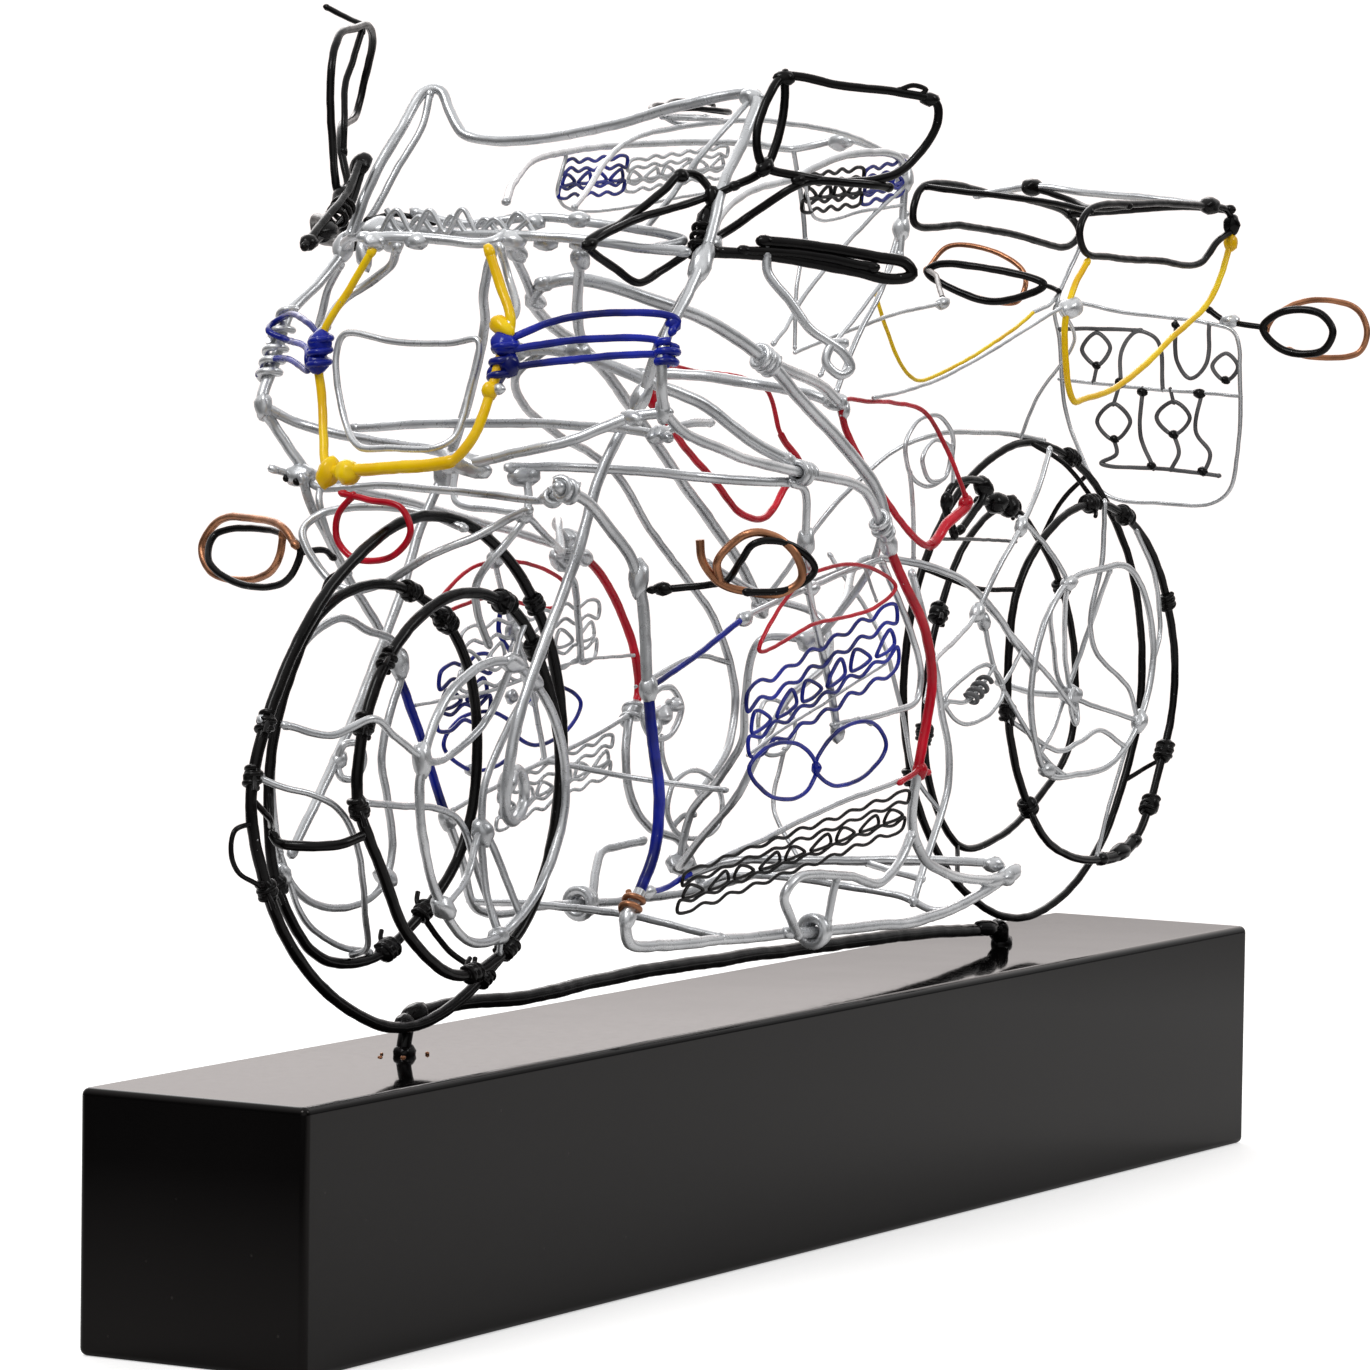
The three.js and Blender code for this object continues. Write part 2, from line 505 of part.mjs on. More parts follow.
// Tank: three long hoops from the dash over the tank to its rear rim
piece('tank_frame', SILVER, [
  wire(MAIN, [-99, -5, 214], [-82.5, 4, 217], [-59, 14, 221.5], [-34, 21, 224], [-5.5, 25, 225.5],
    [26.5, 27, 226.5], [50.5, 26, 226.5], [66, 24, 225.5], [70.5, 14, 227.5], [67, 2, 225],
    [52.5, -12, 224], [30.5, -22.5, 220], [28.5, -23, 212], [27.5, -23, 203.5]),
  wire(LIGHT, [-93.5, -17, 213], [-76, -10, 217], [-61.5, -5, 222], [-46.5, -2, 226.5],
    [-20, 0, 229.5], [4.5, 0, 231], [30, 0, 230], [49.5, 0, 228], [67, 2, 225]),
  wire(MAIN, [-84, -42, 206], [-74.5, -38, 211], [-55.5, -33, 216], [-32, -30, 219], [-10, -27, 223],
    [10.5, -25, 224.5], [25, -24, 223.5], [30.5, -22.5, 219]),
  wire(LIGHT, [66, 24, 225.5], [69, 23.5, 214], [70, 23, 206]),
  wire(FINE, [-35, -28.5, 186.5], [-27, -27, 190], [-20, -26, 194.5], [-2, -25, 204.5],
    [17, -24, 213.5], [29.5, -23, 218]),
  wire(FINE, [28.5, -23, 209], [25, -22, 200.5], [14.5, -22, 193.5], [1, -22, 184.5],
    [-3.5, -22, 179.5]),
  scribble([8, -24.5, 209.2], [28.8, -23, 214.5], 7, 2),
  scribble([-34, 21, 224], [40, 26.5, 226.5], -9, 5),
]);

// Side panels below the tank
piece('side_panel_left', RED, [
  loop(MAIN, [8, -22, 171], [22, -21.5, 171.5], [34, -21, 171.5], [45, -21, 169],
    [53, -21, 162], [62.5, -21, 151.5], [53.5, -21, 148], [46.5, -21, 143.5], [33, -21, 149.5],
    [17.5, -21.5, 161.5]),
]);

piece('side_panel_right', RED, [
  loop(MAIN, [6, 21, 179], [22, 21, 178.5], [39, 21, 177], [51, 21, 173.5], [57, 21, 164.5],
    [65, 21, 157.5], [59, 21, 153], [51, 21, 147], [40.5, 21, 148], [26.5, 21, 156.5],
    [14, 21, 164], [3, 21, 172.5]),
]);

// Tail: black seat hoops, yellow lower edges and the rails that carry them
piece('seat_frame', BLACK, [
  loop(MAIN, [117, 22, 210], [118, 22, 215], [123, 22, 218], [158.5, 22, 216], [180.5, 22, 214],
    [193.5, 22, 211.5], [198.5, 22, 207.5], [193, 22, 204.5], [178.5, 22, 205.5],
    [163.5, 22, 207.5], [139, 22, 209]),
  loop(MAIN, [115.5, -22, 213], [140.5, -22, 214.5], [171, -22, 214.5], [185.5, -22, 213],
    [188, -22, 209.5], [180.5, -22, 206.5], [171.5, -22, 201.5], [151, -22, 202],
    [126.5, -22, 203], [114, -22, 204.5], [111.5, -22, 208.5]),
  wire(MAIN, [148, 22, 216], [148.5, 8, 218], [151, -2, 217], [161, -12, 216], [176, -22, 214.5]),
  wire(MAIN, [148.5, 8, 217.5], [147, -2, 215], [141.5, -10, 213.5], [135, -22, 214]),
]);

piece('seat_rail_left', SILVER, [
  wire(MAIN, [18, -22.5, 174.5], [32.5, -22, 175.5], [54.5, -21, 178.5], [75, -22, 184.5],
    [103, -22, 192]),
]);

piece('seat_rail_right', SILVER, [
  wire(LIGHT, [63, 21, 182], [87, 21, 186.5], [109.5, 21, 190], [133, 22, 192]),
]);

piece('tail_edge_left', YELLOW, [
  wire(MAIN, [115.5, -22, 202], [109.5, -22, 197], [105.5, -22, 190], [106, -22, 180.5],
    [107.3, -22, 175], [110, -22, 171.6], [114, -22, 171.8], [132.5, -22, 175], [162, -22, 186.5], [176, -22, 192.5],
    [183, -22, 199.5], [187.5, -22, 206.5]),
]);

piece('tail_edge_right', YELLOW, [
  wire(MAIN, [100.5, 22, 194], [106, 22, 186], [113, 22, 178], [120, 22, 175], [130, 22, 176],
    [150, 22, 181], [167, 22, 186], [176, 22, 189.5]),
]);

// Number plate frame below the tail, hung on a stay from the seat frame
piece('plate_frame', SILVER, [
  loop(LIGHT, [186, 21.5, 191], [186, 20.5, 183], [186, 18.5, 167], [186, 15, 158],
    [186, 10, 149.5], [186, 5, 147], [186, -6, 146.5], [186, -19, 147], [186, -23.8, 150.5],
    [186, -25.5, 161.5], [186, -25.5, 175], [186, -24, 185.5], [186, -16.5, 188], [186, 2.5, 189.5]),
  wire(LIGHT, [198.5, 22, 204], [192.5, 22, 198], [188, 22, 193.5], [186, 21.5, 190]),
  scribble([186, 19.5, 176], [186, -25.5, 171.5], 9, 4),
  scribble([186, 17.5, 162], [186, -25.5, 157], 9, 4),
]);

// Indicators: a stalk, a black rim and a bare copper rim tied to it
piece('indicator_front_left', BLACK, [
  wire(MAIN, [-89, -33, 139.5], [-87.5, -37, 140], [-86, -44, 141], [-90, -49, 141.5],
    [-93.5, -53.5, 147.5], [-91.5, -58, 150.5], [-85, -62, 148.5], [-82.5, -65, 144.5],
    [-86, -61.5, 140.5], [-91, -54, 140.5], [-94.5, -48, 144], [-94, -49, 149.5],
    [-88, -57, 151.8], [-84, -62.5, 148]),
]);

piece('indicator_front_right', BLACK, [
  wire(MAIN, [-105, 30, 144], [-108, 30, 145.5], [-114, 31, 145.5]),
  loop(MAIN, [-115, 31, 145.5], [-113, 36, 139.5], [-110.5, 48, 138.5], [-107, 55, 142.5],
    [-102, 56, 147.5], [-106, 44, 149]),
  loop(MAIN, [-115.5, 32, 147], [-108, 44, 151.3], [-100.5, 56, 149.5], [-99.5, 59, 144.5],
    [-102, 53, 138.5], [-109, 42, 141]),
]);

piece('indicator_rear_left', BLACK, [
  wire(MAIN, [187, -17, 190.8], [187, -21, 188.5], [188, -30, 187]),
  loop(MAIN, [188, -30, 187], [188.5, -35, 190.8], [190, -43, 190.5], [190, -46.5, 186.5],
    [190, -44, 182.2], [188.5, -35, 182]),
  loop(MAIN, [189.5, -31.5, 188.5], [195, -38, 193.3], [202, -46.5, 191.5], [203, -49, 186.5],
    [202, -47.5, 181.5], [194.5, -37.5, 180.5]),
]);

piece('indicator_rear_right', BLACK, [
  loop(MAIN, [188.5, 26, 195.5], [187, 38, 198.8], [186, 52, 199.8], [186, 55, 198],
    [186.5, 48, 194], [187, 37, 191.5]),
  loop(MAIN, [186.5, 55.5, 198.5], [190, 51.5, 204], [192, 39.5, 202.5], [191.5, 32.5, 197.5],
    [188.5, 33, 191.5], [187, 46, 193]),
  wire(LIGHT, [134.5, 23.6, 193], [158, 38, 197.5], [185.5, 54.5, 198.3]),
]);

// Foot pegs: a bent wire from the belly pipe with a washer threaded on it
function washer(at, radius) {
  const bends = [0, 1, 2, 3, 4, 5, 6, 7].map((i) => {
    const turn = (i / 8) * Math.PI * 2;
    return [at[0] + Math.cos(turn) * radius, at[1], at[2] + Math.sin(turn) * radius];
  });
  return loop(LIGHT, ...bends);
}

piece('foot_peg_left', SILVER, [
  wire(MAIN, [-24, -31.4, 67], [-33, -33, 72], [-37, -34, 76.5], [-34, -35, 79.5],
    [-10, -34, 78], [5, -33, 75.5], [14, -32.5, 79], [19, -32.5, 84]),
  washer([-13.5, -31.3, 67.5], 3.2),
  wire(LIGHT, [-13.5, -31.4, 70.5], [-15, -33, 75], [-16, -34.3, 78.3]),
]);

piece('foot_peg_right', SILVER, [
  wire(MAIN, [-3.5, 31.2, 69], [2.5, 33, 75.5], [6.5, 34, 78], [12.5, 34, 78.5], [20, 32.8, 79]),
  washer([-11.8, 31.2, 69.5], 3.2),
  wire(LIGHT, [-9, 31.2, 69.5], [-6, 31.3, 68.5], [-3, 31.5, 69.5]),
]);

// Left fairing's inner stays, script rows and badge
piece('fairing_left_upper_stays', SILVER, [
  wire(LIGHT, [-84, -31.5, 121.5], [-68.5, -32, 126.5], [-53, -33, 132.5], [-31.5, -33.5, 137],
    [-7.5, -34, 141], [0, -34.5, 142]),
  wire(LIGHT, [-43, -38, 158.8], [-37, -37.5, 157], [-34, -36, 147.5], [-29, -34, 137],
    [-22, -33, 126.5], [-15.5, -32.5, 114], [-13.5, -32.5, 107]),
  wire(FINE, [-51, -33, 105.5], [-46, -33, 110], [-17.5, -33, 114.5], [4.5, -33.5, 120.5]),
  wire(LIGHT, [5, -33.5, 138], [9.5, -33.5, 134], [16.5, -33.5, 125.5], [20.5, -33.5, 117.5],
    [19, -33.5, 112.5], [7, -33.5, 110.5], [-15.5, -32.8, 109]),
  scribble([-50, -33, 109.5], [4, -33.4, 120.3], 12, 4),
]);

piece('fairing_left_lower_stay', SILVER, [
  wire(LIGHT, [-83, -29.5, 80.5], [-76, -29, 80.5], [-68, -30, 83], [-42, -31, 87.5],
    [-15, -32, 92.5], [17, -33, 96.5]),
  scribble([-66, -30, 83.4], [8, -32.7, 95.2], -8, 5),
]);

piece('badge_left_upper', RED, [
  loop(FINE, [-52, -36.4, 127], [-30, -36.4, 132], [-4, -36.6, 134], [2, -36.6, 138.5],
    [-12, -36.6, 140.5], [-34, -36.4, 137.5]),
]);

piece('badge_left_lower', BLUE, [
  loop(FINE, [-54, -35, 103], [-45, -35, 97], [-31, -34.8, 96.5], [-26, -34.8, 101],
    [-33, -35, 106], [-46, -35, 107]),
  loop(FINE, [-27, -35, 101.5], [-20, -35.2, 97.5], [-6, -35.2, 98.5], [2, -35.4, 104],
    [-4, -35.6, 109], [-20, -35.2, 107.5]),
]);

// Right fairing's inner stays, script rows and badge
piece('fairing_right_stays', SILVER, [
  wire(LIGHT, [13.5, 33, 106], [1.5, 32, 103.5], [-16.5, 31, 100], [-41.5, 30, 95.5],
    [-60, 29.6, 91.5]),
  wire(FINE, [17, 33.5, 118.5], [-2.5, 33.5, 118.5], [-21.5, 33, 117], [-42.5, 32, 114.5],
    [-73, 30.5, 113.5]),
  wire(LIGHT, [-40, 34.5, 147], [-37, 33.5, 136], [-32, 33, 126], [-27, 32.2, 116],
    [-22, 31.2, 99]),
  scribble([-66, 31, 113.8], [-24, 32.8, 116.8], 12, 4),
  scribble([-56, 29.8, 92.5], [6, 32.4, 104.3], 8, 4),
]);

piece('badge_right_upper', RED, [
  loop(FINE, [-58, 36, 131], [-36, 36, 133], [-10, 36.5, 130], [-6, 36.5, 134],
    [-20, 36.5, 139], [-44, 36.5, 139]),
]);

piece('badge_right_lower', BLUE, [
  loop(FINE, [-56, 34.5, 104], [-46, 34.2, 98.5], [-32, 34, 100], [-28, 34.4, 105],
    [-36, 34.8, 109.5], [-50, 34.8, 109]),
  loop(FINE, [-29, 34.4, 105.5], [-22, 34, 102], [-8, 34.2, 104.5], [-2, 34.8, 109.5],
    [-8, 35.4, 113], [-22, 35, 111.5]),
]);

// Wheel insides: a rim on each side of the front wheel and one in the rear, with bent spokes
piece('front_rim_left', SILVER, [
  loop(MAIN, [-139.5, -12.5, 105], [-137, -12.5, 89.5], [-130, -12.5, 79], [-122.5, -12.5, 73.5],
    [-113.5, -12.5, 72.5], [-103.5, -12.5, 76], [-94.5, -12.5, 82.5], [-87.5, -12.5, 93.5],
    [-87, -12.5, 103.5], [-91.5, -12.5, 114.5], [-99.5, -12.5, 122], [-110, -12.5, 126],
    [-121, -12.5, 125], [-133, -12.5, 118]),
  wire(LIGHT, [-99, -12.5, 122], [-105.5, -9, 109.5], [-110, -8, 100], [-110, -9, 82], [-110, -12, 73]),
  wire(LIGHT, [-107.5, -12.5, 125], [-110.5, -9, 115], [-125.5, -9, 108], [-139, -12.5, 109.5],
    [-155, -12.2, 117.5], [-169, -3.5, 116.5]),
  wire(LIGHT, [-130.5, -12.5, 80], [-118.5, -10, 85], [-110, -8, 93], [-102, -12, 76.5]),
]);

piece('front_rim_right', SILVER, [
  loop(MAIN, [-119, 12.4, 131], [-129, 12.4, 134], [-140, 12.4, 131], [-148, 12.4, 125],
    [-152, 12.4, 114], [-152.5, 12.4, 101], [-149.5, 12.4, 90], [-144, 12.4, 83],
    [-134, 12.4, 79], [-122, 12.4, 78.5], [-113, 12.4, 82], [-110, 12.4, 88], [-112, 12.4, 98],
    [-114, 12.4, 106], [-112, 12.4, 114], [-107, 12.4, 124], [-111, 12.4, 129]),
]);

piece('rear_rim', SILVER, [
  loop(MAIN, [115, -14, 90.5], [131, -14, 88.5], [149, -14, 90.5], [161, -14, 98.5],
    [168, -14, 112], [165, -14, 124], [154.5, -14, 133.5], [140, -14, 133.5], [125, -14, 131.5],
    [113, -14, 122], [108, -14, 106]),
  wire(LIGHT, [116, -14, 125], [124, -11, 118], [139, -7, 106], [161, -14, 98.5]),
  wire(LIGHT, [112, -14, 94], [124, -11, 98], [139, -7, 106], [145, -14, 133]),
  wire(MAIN, [138, -9, 105.5], [140, 2, 105.5], [143.5, 12, 107]),
]);

piece('wheel_black_box', BLACK, [
  wire(HEAVY, [78, -8, 147.5], [80, -8, 153], [86.5, -8, 155.5], [96, -8, 155.5],
    [101, -7, 152], [96, -7, 147.5], [86.5, -8, 143], [80, -9, 142.5]),
  wire(HEAVY, [99, -7, 149.5], [106, -7, 149], [112, -8, 146.5]),
]);

// Engine, exhaust and swingarm wires inside the fairings
piece('engine_head', SILVER, [
  wire(MAIN, [6.5, -16, 124.5], [30, -10, 131.5], [47.5, -4, 139], [62, -9, 138], [74, -14, 134],
    [89, -14, 127], [101, -13, 119.5], [112, -12.5, 113]),
  wire(MAIN, [5, 9, 139.5], [19, 3, 132], [26, -6, 128], [18, -13, 120], [3, -12, 112.5],
    [-6.5, -12, 104.5], [-9.5, -8, 94], [-5, 4, 83], [1, 12, 76.5], [9, 17, 76]),
  wire(MAIN, [6.5, -16, 124.5], [-2, -8, 124.5], [-1, -4, 112], [1.5, -2, 103.5], [3, 4, 95],
    [7, 13, 87], [9, 17, 76]),
  loop(LIGHT, [7.5, 19, 87], [9.5, 19, 92.5], [17, 19, 95], [26, 19, 92.5], [30.5, 19, 87.5],
    [28.5, 19, 82.5], [20, 19, 80.5], [11, 19, 82.5]),
  wire(LIGHT, [8, 13, 86.5], [11, 17, 86], [10, 19, 84]),
]);

piece('exhaust', SILVER, [
  wire(MAIN, [12, 17, 73.5], [22, 12, 76], [37.5, 4, 75.5], [56, -4, 74.5], [68, -12, 74],
    [77, -21.5, 73.5]),
  wire(LIGHT, [45, -19.5, 67.5], [49, -19, 73], [57, -18, 82], [63.5, -17.5, 91], [64, -17, 98.5],
    [62, -16, 107], [59, -16, 117], [56, -14.5, 128]),
  wire(LIGHT, [55, -3, 74], [50, -12, 73], [48.5, -19, 72]),
]);

export default model;
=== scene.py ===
# A wire motorcycle on a glossy plinth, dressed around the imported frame.
# Routes and sizes are given in millimetres, and each mesh is made in metres where the piece stands.

import math

import bmesh
import bpy
from mathutils import Matrix, Vector, noise


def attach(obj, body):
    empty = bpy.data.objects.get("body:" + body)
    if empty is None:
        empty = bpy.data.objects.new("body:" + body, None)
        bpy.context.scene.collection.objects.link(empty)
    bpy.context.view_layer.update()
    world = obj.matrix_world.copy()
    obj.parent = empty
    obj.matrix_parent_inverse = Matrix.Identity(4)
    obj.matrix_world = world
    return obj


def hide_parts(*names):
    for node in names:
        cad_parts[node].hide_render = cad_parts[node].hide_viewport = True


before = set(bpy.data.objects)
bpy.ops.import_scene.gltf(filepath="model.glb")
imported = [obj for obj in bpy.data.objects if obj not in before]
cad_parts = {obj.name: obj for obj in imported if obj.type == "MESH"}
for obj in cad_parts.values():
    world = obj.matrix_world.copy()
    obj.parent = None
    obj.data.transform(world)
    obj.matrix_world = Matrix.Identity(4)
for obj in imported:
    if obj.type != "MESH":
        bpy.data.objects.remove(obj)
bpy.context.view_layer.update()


# Plinth
# A long square bar of dense board, lacquered gloss black and polished, with its edges barely eased.
# It stands on its own underside, and the stand wire's two stems run into its solid top; no holes are cut for
# them.
METRE = 0.001
PLINTH_SIZE = Vector((394, 50, 50))
PLINTH_EDGE = 1.5
PLINTH_EDGE_STEPS = 5


def new_material(name):
    """An empty node material, with its node tree and its Principled shader."""
    material = bpy.data.materials.new(name)
    material.use_nodes = True
    tree = material.node_tree
    return material, tree, tree.nodes["Principled BSDF"]


def mottle_group():
    """Slow and fine unevenness of a hand-laid finish, and the height of its brush and file marks."""
    group = bpy.data.node_groups.new("hand_finish", "ShaderNodeTree")
    face = group.interface
    for name, value in (("Patch Size", 90.0), ("Grain Size", 900.0)):
        face.new_socket(name, in_out="INPUT", socket_type="NodeSocketFloat").default_value = value
    for name in ("Patches", "Grain", "Height"):
        face.new_socket(name, in_out="OUTPUT", socket_type="NodeSocketFloat")
    nodes, links = group.nodes, group.links
    inside = nodes.new("NodeGroupInput")
    outside = nodes.new("NodeGroupOutput")
    place = nodes.new("ShaderNodeTexCoord")
    patches = nodes.new("ShaderNodeTexNoise")
    patches.inputs["Detail"].default_value = 3.0
    grain = nodes.new("ShaderNodeTexNoise")
    grain.inputs["Detail"].default_value = 5.0
    grain.inputs["Roughness"].default_value = 0.65
    both = nodes.new("ShaderNodeMix")
    both.inputs["Factor"].default_value = 0.55
    for texture, size in ((patches, "Patch Size"), (grain, "Grain Size")):
        links.new(place.outputs["Object"], texture.inputs["Vector"])
        links.new(inside.outputs[size], texture.inputs["Scale"])
    for texture, mix, result in ((patches, "A", "Patches"), (grain, "B", "Grain")):
        links.new(texture.outputs["Fac"], both.inputs[mix])
        links.new(texture.outputs["Fac"], outside.inputs[result])
    links.new(both.outputs["Result"], outside.inputs["Height"])
    return group


HAND_FINISH = mottle_group()


def unevenness(tree, patch_size, grain_size):
    """Places the hand finish group in a material."""
    node = tree.nodes.new("ShaderNodeGroup")
    node.node_tree = HAND_FINISH
    node.inputs["Patch Size"].default_value = patch_size
    node.inputs["Grain Size"].default_value = grain_size
    return node


def blended(tree, by, low, high, dark, light):
    """A colour that runs from dark to light while the given value runs from low to high."""
    ramp = tree.nodes.new("ShaderNodeValToRGB")
    for stop, place, colour in zip(ramp.color_ramp.elements, (low, high), (dark, light)):
        stop.position = place
        stop.color = (*colour, 1)
    tree.links.new(by, ramp.inputs["Fac"])
    return ramp.outputs["Color"]


def ranged(tree, by, low, high, at_low, at_high):
    """A value mapped from one range to another."""
    node = tree.nodes.new("ShaderNodeMapRange")
    for name, value in (("From Min", low), ("From Max", high), ("To Min", at_low), ("To Max", at_high)):
        node.inputs[name].default_value = value
    tree.links.new(by, node.inputs["Value"])
    return node.outputs["Result"]


def mixed(tree, by, under, over):
    """A fixed colour laid over another wherever the given value rises to one."""
    node = tree.nodes.new("ShaderNodeMix")
    node.data_type = "RGBA"
    tree.links.new(by, node.inputs["Factor"])
    tree.links.new(under, node.inputs["A"])
    node.inputs["B"].default_value = (*over, 1)
    return node.outputs["Result"]


def relief(tree, shader, height, depth, strength):
    """Raises the surface by the given height."""
    bump = tree.nodes.new("ShaderNodeBump")
    bump.inputs["Distance"].default_value = depth
    bump.inputs["Strength"].default_value = strength
    tree.links.new(height, bump.inputs["Height"])
    tree.links.new(bump.outputs["Normal"], shader.inputs["Normal"])


def polished_lacquer():
    """Near-black lacquer that is a little warm, with a few grains of dust on it."""
    material, tree, shader = new_material("polished_black_lacquer")
    waver = unevenness(tree, patch_size=14.0, grain_size=420.0)
    colour = blended(tree, waver.outputs["Patches"], 0.3, 0.75,
                     dark=(0.0012, 0.0011, 0.0012), light=(0.0030, 0.0027, 0.0027))
    dust = tree.nodes.new("ShaderNodeTexVoronoi")
    dust.inputs["Scale"].default_value = 150.0
    place = tree.nodes.new("ShaderNodeTexCoord")
    tree.links.new(place.outputs["Object"], dust.inputs["Vector"])
    specks = ranged(tree, dust.outputs["Distance"], 0.03, 0.05, at_low=0.05, at_high=0.0)
    speckled = mixed(tree, specks, colour, over=(0.30, 0.27, 0.25))
    tree.links.new(speckled, shader.inputs["Base Color"])
    rough = ranged(tree, waver.outputs["Grain"], 0.35, 0.7, at_low=0.035, at_high=0.075)
    tree.links.new(rough, shader.inputs["Roughness"])
    shader.inputs["IOR"].default_value = 1.25
    shader.inputs["Specular Tint"].default_value = (1.0, 0.93, 0.9, 1)
    relief(tree, shader, waver.outputs["Patches"], depth=0.0004, strength=0.12)
    return material


shape = bmesh.new()
bmesh.ops.create_cube(shape, size=1.0)
bmesh.ops.scale(shape, vec=PLINTH_SIZE * METRE, verts=shape.verts)
bmesh.ops.translate(shape, vec=(0, 0, PLINTH_SIZE.z * METRE / 2), verts=shape.verts)
bmesh.ops.bevel(shape, geom=shape.edges[:], offset=PLINTH_EDGE * METRE, segments=PLINTH_EDGE_STEPS,
                profile=0.5, affect="EDGES", material=-1)
for face in shape.faces:
    face.smooth = True
mesh = bpy.data.meshes.new("polished_plinth")
shape.to_mesh(mesh)
shape.free()
mesh.materials.append(polished_lacquer())
polished_plinth = bpy.data.objects.new("polished_plinth", mesh)
bpy.context.collection.objects.link(polished_plinth)
even = polished_plinth.modifiers.new("even_faces", "WEIGHTED_NORMAL")
even.keep_sharp = True
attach(polished_plinth, "root")
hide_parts("plinth")


# Stand wire
# One heavy black wire: a stem glued into the plinth at each end, and a run between the two wheels' feet.
# All the wires are bent by hand, so their lines waver a little, and they are painted after soldering.
STAND_RADIUS = 1.45
WAVERS = ((0.06, 0.3), (0.33, 0.09))
UNEVEN_GAUGES = ((0.21, 0.07), (0.9, 0.04))
ROUND_STEPS = 4
FINEST_STEP = 0.45
STEP_PER_RADIUS = 0.8
END_SWELL = 1.18
END_STRETCH = 1.5
LUMP_SWELLS = ((1.3, 0.20), (3.5, 0.07))
LARGE_LUMP = 1.7


def silver_paint():
    """Bright silver paint over steel wire, thin enough to keep the metal's shine."""
    material, tree, shader = new_material("silver_paint")
    coat = unevenness(tree, patch_size=75.0, grain_size=750.0)
    colour = blended(tree, coat.outputs["Patches"], 0.32, 0.72,
                     dark=(0.46, 0.47, 0.485), light=(0.72, 0.73, 0.745))
    tree.links.new(colour, shader.inputs["Base Color"])
    shader.inputs["Metallic"].default_value = 0.7
    rough = ranged(tree, coat.outputs["Grain"], 0.3, 0.75, at_low=0.25, at_high=0.34)
    tree.links.new(rough, shader.inputs["Roughness"])
    relief(tree, shader, coat.outputs["Height"], depth=0.0004, strength=0.09)
    return material


def enamel(name, deep, bright, gloss=1.36):
    """Gloss enamel brushed on wire: deeper where it pooled, and worn to bare metal in a few places."""
    material, tree, shader = new_material(name)
    coat = unevenness(tree, patch_size=110.0, grain_size=900.0)
    colour = blended(tree, coat.outputs["Patches"], 0.35, 0.7, dark=deep, light=bright)
    worn = ranged(tree, coat.outputs["Grain"], 0.70, 0.73, at_low=0.0, at_high=1.0)
    tree.links.new(mixed(tree, worn, colour, over=(0.45, 0.45, 0.46)), shader.inputs["Base Color"])
    tree.links.new(worn, shader.inputs["Metallic"])
    rough = ranged(tree, coat.outputs["Grain"], 0.3, 0.75, at_low=0.12, at_high=0.26)
    tree.links.new(rough, shader.inputs["Roughness"])
    shader.inputs["IOR"].default_value = gloss
    relief(tree, shader, coat.outputs["Height"], depth=0.0003, strength=0.18)
    return material


def bare_copper():
    """Unpainted copper wire, browned in patches."""
    material, tree, shader = new_material("bare_copper")
    coat = unevenness(tree, patch_size=130.0, grain_size=1100.0)
    colour = blended(tree, coat.outputs["Patches"], 0.3, 0.72,
                     dark=(0.20, 0.085, 0.045), light=(0.52, 0.235, 0.12))
    tree.links.new(colour, shader.inputs["Base Color"])
    shader.inputs["Metallic"].default_value = 0.9
    rough = ranged(tree, coat.outputs["Grain"], 0.3, 0.7, at_low=0.24, at_high=0.44)
    tree.links.new(rough, shader.inputs["Roughness"])
    relief(tree, shader, coat.outputs["Height"], depth=0.0003, strength=0.35)
    return material


PAINTS = {
    "silver": silver_paint(),
    "black": enamel("black_enamel", (0.0025, 0.0022, 0.0024), (0.0065, 0.0057, 0.0057), gloss=1.25),
    "grey": enamel("grey_enamel", (0.07, 0.07, 0.074), (0.16, 0.16, 0.165)),
    "blue": enamel("blue_enamel", (0.003, 0.006, 0.10), (0.008, 0.020, 0.38)),
    "red": enamel("red_enamel", (0.36, 0.003, 0.012), (0.66, 0.008, 0.028)),
    "yellow": enamel("yellow_enamel", (0.80, 0.46, 0.003), (0.95, 0.66, 0.006)),
    "copper": bare_copper(),
}


def soft_path(bends, looped, step):
    """Places along a wire bent through the given ones, each with the number of the bend before it."""
    knots = [Vector(bend) for bend in bends]
    count = len(knots)
    last = count if looped else count - 1
    path = []
    for i in range(last):
        here, there = knots[i], knots[(i + 1) % count]
        before = knots[i - 1] if looped or i else here * 2 - there
        after = knots[(i + 2) % count] if looped or i + 2 < count else there * 2 - here
        lead, span, tail = (max((b - a).length, 0.01) ** 0.5
                            for a, b in ((before, here), (here, there), (there, after)))
        out = (here - before) / lead - (there - before) / (lead + span) + (there - here) / span
        into = (there - here) / span - (after - here) / (span + tail) + (after - there) / tail
        steps = max(2, round((there - here).length / step))
        for k in range(steps):
            t = k / steps
            path.append((i, here * (2 * t ** 3 - 3 * t ** 2 + 1) + out * span * (t ** 3 - 2 * t ** 2 + t)
                         + there * (3 * t ** 2 - 2 * t ** 3) + into * span * (t ** 3 - t ** 2)))
    if not looped:
        path.append((last, knots[-1]))
    return path


def hand(point):
    """The small waver that bending by hand leaves, the same for every wire that passes a place."""
    moved = point
    for often, far in WAVERS:
        moved = moved + noise.noise_vector(point * often) * far
    return moved


def varied(place, swells):
    """How much thicker or thinner than its mean something made by hand is at a place."""
    size = 1
    for often, share in swells:
        size = size + share * noise.noise(place(often))
    return size


def painted(route):
    """A route that starts with its paint, which is silver where it doesn't say."""
    return route if isinstance(route[0], str) else ("silver", *route)


def run(radius, *route, ends=1.0):
    """An open wire: its paint and bends in turn.

    A paint or a new radius given between bends starts at the bend before it.
    """
    return {"radius": radius, "route": painted(route), "looped": False, "ends": ends}


